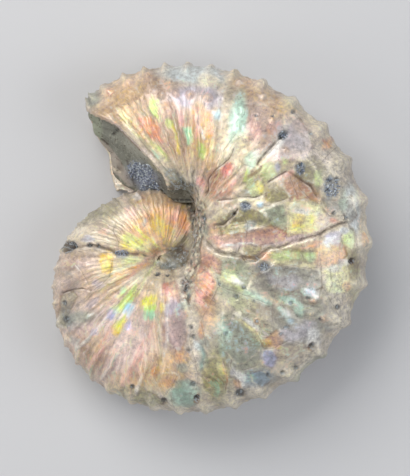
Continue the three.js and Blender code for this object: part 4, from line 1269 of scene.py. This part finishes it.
# %% Sockets that can be added and multiplied
class Socket:
    def __init__(self, tree, socket=None):
        self.tree, self.socket = tree, socket

    def node(self, kind, settings=None, values=None, output=0):
        """A new node: its settings first, then its sockets' values or links, then one output."""
        node = self.tree.nodes.new("ShaderNode" + kind)
        for key, value in (settings or {}).items():
            if key == "stops":
                place_stops(node.color_ramp, value)
            else:
                setattr(node, key, value)
        for key, value in (values or {}).items():
            if isinstance(value, Socket):
                self.tree.links.new(value.socket, node.inputs[key])
            else:
                node.inputs[key].default_value = value
        return Socket(self.tree, node.outputs[output])

    def math(self, operation, *values):
        return self.node("Math", {"operation": operation}, dict(enumerate(values)))

    def __add__(self, other):
        return self.math("ADD", self, other)

    def __sub__(self, other):
        return self.math("SUBTRACT", self, other)

    def __rsub__(self, other):
        return self.math("SUBTRACT", other, self)

    def __mul__(self, other):
        return self.math("MULTIPLY", self, other)

    def __abs__(self):
        return self.math("ABSOLUTE", self)

    __radd__ = __add__
    __rmul__ = __mul__

    def steps(self, low, high):
        """0 below low, 1 above high, and a smooth step between."""
        values = {"Value": self, "From Min": low, "From Max": high}
        return self.node("MapRange", {"interpolation_type": "SMOOTHSTEP"}, values)

    def blend(self, other, factor, how="MIX"):
        """This colour blended with another."""
        values = {0: factor, 6: self, 7: other}
        return self.node("Mix", {"data_type": "RGBA", "blend_type": how}, values, output=2)

    def stretch(self, x, y, z):
        return self.node("VectorMath", {"operation": "MULTIPLY"}, {0: self, 1: (x, y, z)})

    def noise(self, scale, detail=2, roughness=0.5):
        values = {"Vector": self, "Scale": scale, "Detail": detail, "Roughness": roughness}
        return self.node("TexNoise", {"noise_dimensions": "3D"}, values)

    def cells(self, scale, output):
        """Voronoi cells: the colour of each, or the distance from its middle."""
        return self.node("TexVoronoi", {"feature": "F1"}, {"Vector": self, "Scale": scale}, output)

    def as_bump(self, depth, strength):
        """A normal bent by this height."""
        return self.node("Bump", None, {"Height": self, "Distance": depth, "Strength": strength})

    def attribute(self, name, output="Fac"):
        return self.node("Attribute", {"attribute_name": name}, output=output)

    def parts(self):
        return [self.node("SeparateXYZ", None, {0: self}, i) for i in range(3)]


def place_stops(ramp, stops):
    while len(ramp.elements) > 1:
        ramp.elements.remove(ramp.elements[-1])
    for i, (place, colour) in enumerate(stops):
        stop = ramp.elements[0] if i == 0 else ramp.elements.new(place)
        stop.position = place
        stop.color = (*colour, 1)


def new_finish(name):
    """A new material: its graph, its shader, and the socket of object coordinates."""
    material = bpy.data.materials.new(name)
    material.use_nodes = True
    tree = material.node_tree
    graph = Socket(tree)
    return material, graph, tree.nodes["Principled BSDF"], graph.node("TexCoord", output="Object")


def feed(graph, shader, **links):
    for name, value in links.items():
        graph.tree.links.new(value.socket, shader.inputs[name.replace("_", " ")])


print("finishes use", Socket.__name__, "for their maths")

# %% [markdown]
# ## The nacre's finish
#
# The painted colour is only a start. Fine streaks along the ribs lighten, darken and turn its hue,
# as the growth layers do. Rib crests that are too fine for the mesh are drawn here, from the growth
# coordinates, and lightened as a painted highlight. A thin bright film of rainbow shows where a
# second noise is high. Cracks are dark lines with a brown stain beside them and a painted highlight
# along one edge, and bare spots are dull stone with small crystals. A clear coat over slightly
# metallic nacre gives the satin gloss.

# %% Noises and rib crests of the nacre
nacre, graph, shader, spots = new_finish("nacre")
paint_colour = graph.attribute("paint", "Color")
growth = graph.attribute("growth", "Vector")
crack_distance, crack_line, crack_here = graph.attribute("crack", "Vector").parts()
bare_stone = graph.attribute("bare")

streaks = growth.stretch(7, 0.3, 3).noise(1.0, detail=4, roughness=0.6)
threads = growth.stretch(17, 1.1, 3).noise(1.0, detail=3, roughness=0.65)
broad = growth.stretch(1.3, 0.12, 5).noise(1.0, detail=2)
grainy = spots.noise(2600, detail=3)
blotches = spots.noise(420, detail=5, roughness=0.65)
crinkle = spots.noise(1150, detail=4, roughness=0.7)
rib_gap_here = abs(graph.math("FRACT", growth.parts()[0] + 0.5) - 0.5)
main_crest = (1 - rib_gap_here.steps(0.04, 0.2)) * streaks.steps(0.34, 0.56)
second_crest = rib_gap_here.steps(0.36, 0.47) * threads.steps(0.45, 0.6)
ribbed = graph.attribute("ribbed")
dusty = graph.attribute("dusty")
crest = (main_crest + second_crest * 0.6) * ribbed
print("nodes so far:", len(nacre.node_tree.nodes))

# %% Tone, film and flashes of the nacre
RAINBOW = ["rose", "salmon", "gold", "lime", "mint", "sky", "lilac", "rose"]
PALE_RAINBOW = ["pale yellow", "pink", "white", "lime", "peach", "mint", "salmon", "pale yellow"]
DUST = (0.24, 0.21, 0.17, 1)


def even_stops(names):
    """Palette colours, spread evenly from 0 to 1 for a colour ramp."""
    return [(i / (len(names) - 1), linear(name)) for i, name in enumerate(names)]


ripple = blotches.steps(0.3, 0.7) * (1 - ribbed * 0.6) + streaks.steps(0.25, 0.75) * ribbed * 0.6
fine = crinkle.steps(0.3, 0.7) * (1 - ribbed * 0.5) + threads.steps(0.3, 0.7) * ribbed * 0.5
flashing_here = graph.attribute("flashing")
# The crest term in Value lightens the rib crests: a painted highlight.
tone = graph.node("HueSaturation", None, {
    "Hue": 0.5 + (broad - 0.5) * 0.08 + (crinkle - 0.5) * 0.10,
    "Saturation": 1.04 + (crinkle - 0.5) * 1.4 - dusty * 0.3 + flashing_here * 0.2,
    "Value": 0.4 + ripple * 0.4 + fine * 0.5 + grainy * 0.14 + crest * 0.08 - dusty * 0.02,
    "Color": paint_colour,
})
stops = even_stops(RAINBOW)
pale_stops = even_stops(PALE_RAINBOW)
turns_of_hue = broad * 2.2 + crinkle * 1.2
film = graph.node("ValToRGB", {"stops": stops}, {0: graph.math("FRACT", turns_of_hue)})
flash_lines = growth.stretch(5.5, 0.26, 3).noise(1.0, detail=3, roughness=0.6)
flash_hue = growth.stretch(2.4, 0.2, 7).noise(1.0, detail=2)
flash = graph.node("ValToRGB", {"stops": pale_stops}, {0: graph.math("FRACT", flash_hue * 3.4)})
film_here = ripple.steps(0.45, 0.8) * fine.steps(0.4, 0.8) * (1 - bare_stone) * (1 - dusty)
# Rib crests also take the pale flash colours, as a painted highlight along them.
flash_share = flash_lines.steps(0.5, 0.64) * 0.7 + crest * 0.45
flash_here = flash_share * flashing_here * (1 - bare_stone)
colour = tone.blend(film, film_here * 0.4).blend(flash, flash_here * 0.5)
dust = spots.noise(900, detail=5, roughness=0.75).steps(0.48, 0.6) * (0.05 + dusty * 0.5)
colour = colour.blend(DUST, dust)
print("nodes so far:", len(nacre.node_tree.nodes))

# %% Cracks and bare stone in the nacre
# linear colours of the crack, of the stain beside it, of the painted highlight along one edge of it,
# and of the small crystals
CRACK_DARK = (0.06, 0.042, 0.028, 1)
STAIN = (0.2, 0.13, 0.08, 1)
CRACK_EDGE_HIGHLIGHT = (0.78, 0.7, 0.62, 1)
GLINT = (0.42, 0.47, 0.5, 1)
CRYSTAL_SCALE = 2400

distance = abs(crack_distance)
line = (1 - distance.steps(crack_line * 0.3, crack_line * 1.2)) * crack_here * (0.5 + blotches * 0.7)
stain = (1 - distance.steps(crack_line, crack_line * 4.5)) * crack_here * grainy.steps(0.35, 0.65)
# A pale line along one side of each crack, in patches: a painted highlight on the raised edge.
lip_start = crack_distance.steps(crack_line, crack_line * 1.8)
lip = lip_start * (1 - crack_distance.steps(crack_line * 2.2, crack_line * 3.4))
colour = colour.blend(STAIN, stain * 0.4)
colour = colour.blend(CRACK_EDGE_HIGHLIGHT, lip * crack_here * blotches.steps(0.3, 0.6) * 0.6)
colour = colour.blend(CRACK_DARK, line * 0.75)

cells = spots.cells(CRYSTAL_SCALE, "Color")
facets = spots.cells(CRYSTAL_SCALE, "Distance")
glint = cells.parts()[0]
colour = colour.blend(GLINT, bare_stone * glint.steps(0.55, 0.9) * 0.7)
print("nodes so far:", len(nacre.node_tree.nodes))

# %% Surface of the nacre
BUMP_DEPTH, BUMP_STRENGTH = 0.00025, 0.7
COAT_ROUGHNESS, COAT_INDEX = 0.14, 1.5

height = streaks * ribbed * 0.4 + crest * 0.6 + flash_here * 0.4 + blotches * 0.6
height = height + crinkle * 0.45 + grainy * 0.1 + facets * bare_stone * 0.8 - line * 0.6
normal = height.as_bump(BUMP_DEPTH, BUMP_STRENGTH)
clean = (1 - bare_stone) * (1 - line) * (1 - dusty * 0.7)
rough = 0.25 + fine * 0.14 + dusty * 0.25 + bare_stone * 0.2 + line * 0.3
feed(graph, shader, Base_Color=colour, Roughness=rough, Normal=normal)
feed(graph, shader, Metallic=clean * 0.25, Coat_Weight=clean * 0.4)
shader.inputs["Coat Roughness"].default_value = COAT_ROUGHNESS
shader.inputs["Coat IOR"].default_value = COAT_INDEX
shell.data.materials.append(nacre)
print("nacre nodes:", len(nacre.node_tree.nodes))

# %% [markdown]
# ## The rock in the mouth
#
# The mud that filled the body chamber is now a fine, grey-olive stone. Its solid is kept a little
# clear of the shell's wall, so the copy is remeshed and swollen to meet the wall, except on its
# broken face, where a sandy, ledged noise roughens it as a hammer blow leaves it.

# %% Marks of the rock
# the smooth far lip of the mouth, in two colours
ROCK_SHARDS = [
    ("rock rose", [
        (92, 138), (104, 141), (112, 149), (120, 160), (127, 172), (134, 186), (128, 187),
        (118, 176), (108, 170), (104, 160), (104, 150),
    ]),
    ("mud", [(104, 168), (118, 176), (128, 187), (138, 197), (112, 202), (108, 180)]),
]
# x, y, half length, half width, angle and strength of each patch of another stone; the dark mud
# patch at 172, 186 is painted shade below the hook's near lip
ROCK_PATCHES = [
    ("green grey", 96, 124, 18, 5, -78, 0.7), ("olive", 137, 188, 12, 4, -70, 0.6),
    ("steel lavender", 146, 180, 20, 12, -40, 0.9), ("mud dark", 172, 186, 20, 12, 0, 0.7),
    ("mud pale", 150, 160, 18, 3, -42, 0.6), ("olive", 160, 168, 12, 4, -20, 0.5),
    ("mud pale", 130, 145, 14, 5, -45, 0.5),
]
# strength, half width in pixels, and path
ROCK_LINES = [
    ("rock rose", 0.9, 2.2, [(106, 114), (120, 128), (140, 148), (160, 167)]),
    ("black", 0.9, 1.2, [(113, 134), (117, 130), (119, 129)]),
    ("dark brown", 0.8, 1.0, [(102, 139), (108, 144)]),
    ("brown", 0.5, 0.9, [(116, 124), (132, 142), (148, 156)]),
    ("black", 0.8, 1.4, [(133, 194), (150, 198), (170, 200), (190, 200)]),
    ("dark brown", 0.6, 1.0, [(127, 161), (131, 174), (134, 184)]),
    ("cream", 0.7, 1.2, [(107, 160), (112, 168), (120, 172)]),
]
print("rock pieces:", len(ROCK_SHARDS), "patches:", len(ROCK_PATCHES), "lines:", len(ROCK_LINES))

# %% The broken face
ROCK_VOXEL = 0.00028  # metres
SWELL = 0.26  # millimetres from the solid out to the shell's wall
BREAK_FACES = Vector((-0.675, -0.593, 0.438))  # out of the broken face, in the coil's frame
LEDGE_SIZE, CHIP_SIZE, SAND_SIZE = 5.0, 1.8, 0.6  # millimetres across each roughness
LEDGE_HEIGHT, CHIP_HEIGHT, SAND_HEIGHT = 1.3, 0.4, 0.09

rock = copy_of_solid("mouth_rock", "mouth_stone")
apply_modifier(rock, "REMESH", mode="VOXEL", voxel_size=ROCK_VOXEL)
rock_points = to_coil(points_of(rock))
normals = np.array([vertex.normal for vertex in rock.data.vertices]) @ COIL_LEAN
on_break = smooth(0.6, 0.85, normals @ np.array(BREAK_FACES.normalized()))
ledges = np.abs(noise_at(rock_points, LEDGE_SIZE, seed=60)) * LEDGE_HEIGHT
ledges = ledges + CHIP_HEIGHT * noise_at(rock_points, CHIP_SIZE, seed=61)
sand = SAND_HEIGHT * noise_at(rock_points, SAND_SIZE, seed=62)
push = np.where(on_break > 0, on_break * (ledges - 0.5 + sand), 0) + (1 - on_break) * SWELL
rock_points = rock_points + normals * push[:, None]
rock_points[:, 0] -= lip_reach(seen_at(to_scene(rock_points)))
set_points(rock, np.clip(to_scene(rock_points), low, high))
for polygon in rock.data.polygons:
    polygon.use_smooth = True
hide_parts("mouth_rock")
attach(rock, "root")
print("rock faces:", len(rock.data.polygons))

# %% Colours of the rock
rock_place = seen_at(to_scene(rock_points)) + 0.8 * np.stack([sand, ledges], 1)
rock_paint = np.tile(linear("mud"), (len(rock_place), 1))
for name, outline in ROCK_SHARDS:
    rock_paint = mix(rock_paint, linear(name), 0.9 * within(rock_place, outline))
for name, *shape, strength in ROCK_PATCHES:
    rock_paint = mix(rock_paint, linear(name), strength * spot(rock_place, *shape, soft=0.5))
for name, strength, half_width, path in ROCK_LINES:
    distance, _ = line_distance(rock_place, path)
    rock_paint = mix(rock_paint, linear(name), strength * bump(distance, half_width))
keep_attribute(rock, "paint", "FLOAT_COLOR", np.column_stack([rock_paint, np.ones(len(rock_paint))]))
print("painted points of rock:", len(rock_paint))

# %% Mudstone
mudstone, graph, shader, spots = new_finish("mudstone")
drift = spots.noise(500, detail=4, roughness=0.6)
grains = spots.noise(4200, detail=2)
specks = spots.cells(3000, "Color").parts()[0]
colour = graph.node("HueSaturation", None, {
    "Value": 0.66 + drift * 0.42 + grains * 0.3, "Color": graph.attribute("paint", "Color"),
})
colour = colour.blend((*linear("mud pale"), 1), specks.steps(0.8, 0.95) * 0.5)
colour = colour.blend((*linear("dark brown"), 1), (1 - specks.steps(0.04, 0.1)) * 0.5)
normal = (grains + specks * 0.4).as_bump(0.0002, BUMP_STRENGTH)
feed(graph, shader, Base_Color=colour, Roughness=0.8 + grains * 0.15, Normal=normal)
rock.data.materials.append(mudstone)
print("mudstone nodes:", len(mudstone.node_tree.nodes))

# %% [markdown]
# ## Small crystals
#
# A patch of tiny blue-grey crystals sparkles on the broken rock, and more line the open pits. One
# six-sided crystal is modelled, with a pointed end, and copies of it are planted where
# rays from the camera meet the stone. Each copy has its own mesh, and a patch is joined to one.

# %% One crystal, and many
POINT_HEIGHT = 0.45  # of its tip, in widths of the crystal


def model_crystal():
    """A six-sided crystal one unit wide that stands on the origin."""
    bpy.ops.object.select_all(action="DESELECT")
    bpy.ops.mesh.primitive_cylinder_add(vertices=6, radius=0.5, depth=1, location=(0, 0, 0.2))
    crystal = bpy.context.object
    bpy.ops.object.mode_set(mode="EDIT")
    bpy.ops.mesh.select_mode(type="FACE")
    bpy.ops.mesh.select_all(action="DESELECT")
    bpy.ops.object.mode_set(mode="OBJECT")
    for polygon in crystal.data.polygons:
        polygon.select = polygon.normal.z > 0.9
    bpy.ops.object.mode_set(mode="EDIT")
    bpy.ops.mesh.extrude_region_move(TRANSFORM_OT_translate={"value": (0, 0, POINT_HEIGHT)})
    bpy.ops.transform.resize(value=(0.2, 0.2, 1))
    bpy.ops.object.mode_set(mode="OBJECT")
    return crystal


def surface_of(piece):
    corners = [vertex.co.copy() for vertex in piece.data.vertices]
    return BVHTree.FromPolygons(corners, [tuple(polygon.vertices) for polygon in piece.data.polygons])


def plant_crystals(name, carrier, patches, draws):
    """Crystals over patches of a carrier: x, y, half length and width in pixels, how many, width."""
    bpy.context.view_layer.update()
    surface = surface_of(carrier)
    pattern = model_crystal()
    planted = []
    for x, y, half_length, half_width, count, width in patches:
        for _ in range(count):
            angle, out = draws.uniform(0, 2 * math.pi), math.sqrt(draws.uniform(0, 1))
            pixel = (x + half_length * out * math.cos(angle), y + half_width * out * math.sin(angle))
            foot, facing, _, _ = surface.ray_cast(camera.location, ray_through(*pixel))
            if foot is None:
                continue
            lean = Vector([draws.uniform(-0.7, 0.7) for _ in range(3)])
            turn_up = (facing + lean).to_track_quat("Z", "Y").to_matrix().to_4x4()
            size = Matrix.Scale(width * draws.uniform(0.6, 1.3), 4)
            crystal = pattern.copy()
            crystal.data = pattern.data.copy()
            crystal.data.transform(Matrix.Translation(foot) @ turn_up @ size)
            crystal.location = (0, 0, 0)
            bpy.context.scene.collection.objects.link(crystal)
            planted.append(crystal)
    bpy.data.objects.remove(pattern)
    bpy.ops.object.select_all(action="DESELECT")
    for crystal in planted:
        crystal.select_set(True)
    bpy.context.view_layer.objects.active = planted[0]
    bpy.ops.object.join()
    druse = bpy.context.object
    druse.name = name
    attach(druse, "root")
    print(name, "has", len(planted), "crystals")
    return druse


print("a crystal's point is", POINT_HEIGHT, "of its width high")

# %% Two patches of crystals
SMALL, MEDIUM, LARGE = 0.00022, 0.0003, 0.00036

draws = random.Random(7)
mouth_druse = plant_crystals("mouth_crystals", rock, [
    (141, 172, 12, 9, 190, LARGE), (150, 188, 9, 9, 150, LARGE), (134, 166, 6, 6, 40, MEDIUM),
], draws)
pit_druse = plant_crystals("pit_crystals", shell, [
    (332, 188, 8, 10, 60, MEDIUM), (246, 206, 5, 4, 24, MEDIUM), (301, 169, 4, 6, 22, MEDIUM),
    (283, 135, 4, 4, 16, MEDIUM), (122, 253, 7, 3, 24, MEDIUM), (263, 267, 7, 4, 20, SMALL),
], draws)

# %% Crystal finish
crystal_finish, graph, shader, spots = new_finish("grey crystal")
cloudy = spots.noise(1800, detail=2)
stops = [(0.3, linear("steel")), (0.48, linear("steel lavender")), (0.66, linear("mist"))]
colour = graph.node("ValToRGB", {"stops": stops}, {0: cloudy})
feed(graph, shader, Base_Color=colour, Roughness=0.12 + cloudy * 0.2)
mouth_druse.data.materials.append(crystal_finish)
pit_druse.data.materials.append(crystal_finish)
print("crystal nodes:", len(crystal_finish.node_tree.nodes))

# %% [markdown]
# ## Floor and light
#
# A plain pale floor and large soft lamps, as in a small studio: a broad one over the fossil's far
# left side, like the window of the photograph, and weaker ones that open the shadows.

# %% Studio
FLOOR_GREY = (0.58, 0.58, 0.59, 1)
SKY_COLOUR, SKY_STRENGTH = (0.8, 0.84, 0.9, 1), 0.36


def add_floor():
    bpy.ops.object.select_all(action="DESELECT")
    bpy.ops.mesh.primitive_plane_add(size=8, location=(0, 0, 0))
    floor = bpy.context.object
    floor.name = "floor"
    surface = bpy.data.materials.new("pale floor")
    surface.use_nodes = True
    shader = surface.node_tree.nodes["Principled BSDF"]
    shader.inputs["Base Color"].default_value = FLOOR_GREY
    shader.inputs["Roughness"].default_value = 0.9
    floor.data.materials.append(surface)


def add_lamp(name, place, aim, size, power, colour):
    data = bpy.data.lights.new(name, "AREA")
    data.shape = "RECTANGLE"
    data.size, data.size_y = size
    data.energy = power
    data.color = colour
    lamp = bpy.data.objects.new(name, data)
    bpy.context.scene.collection.objects.link(lamp)
    lamp.location = place
    lamp.rotation_euler = (Vector(aim) - Vector(place)).to_track_quat("-Z", "Y").to_euler()


add_floor()
add_lamp("window", (-0.24, 0.34, 0.48), (0, 0, 0), (0.5, 0.4), 3.0, (1, 0.98, 0.95))
add_lamp("side", (-0.45, -0.18, 0.36), (0, 0, 0), (0.3, 0.4), 0.8, (1, 0.97, 0.93))
add_lamp("fill", (0.48, -0.10, 0.42), (0, 0, 0), (0.4, 0.5), 1.5, (0.93, 0.96, 1))
bpy.context.scene.view_settings.view_transform = "Standard"
world = bpy.data.worlds.new("studio")
bpy.context.scene.world = world
world.use_nodes = True
sky = world.node_tree.nodes["Background"]
sky.inputs["Color"].default_value = SKY_COLOUR
sky.inputs["Strength"].default_value = SKY_STRENGTH
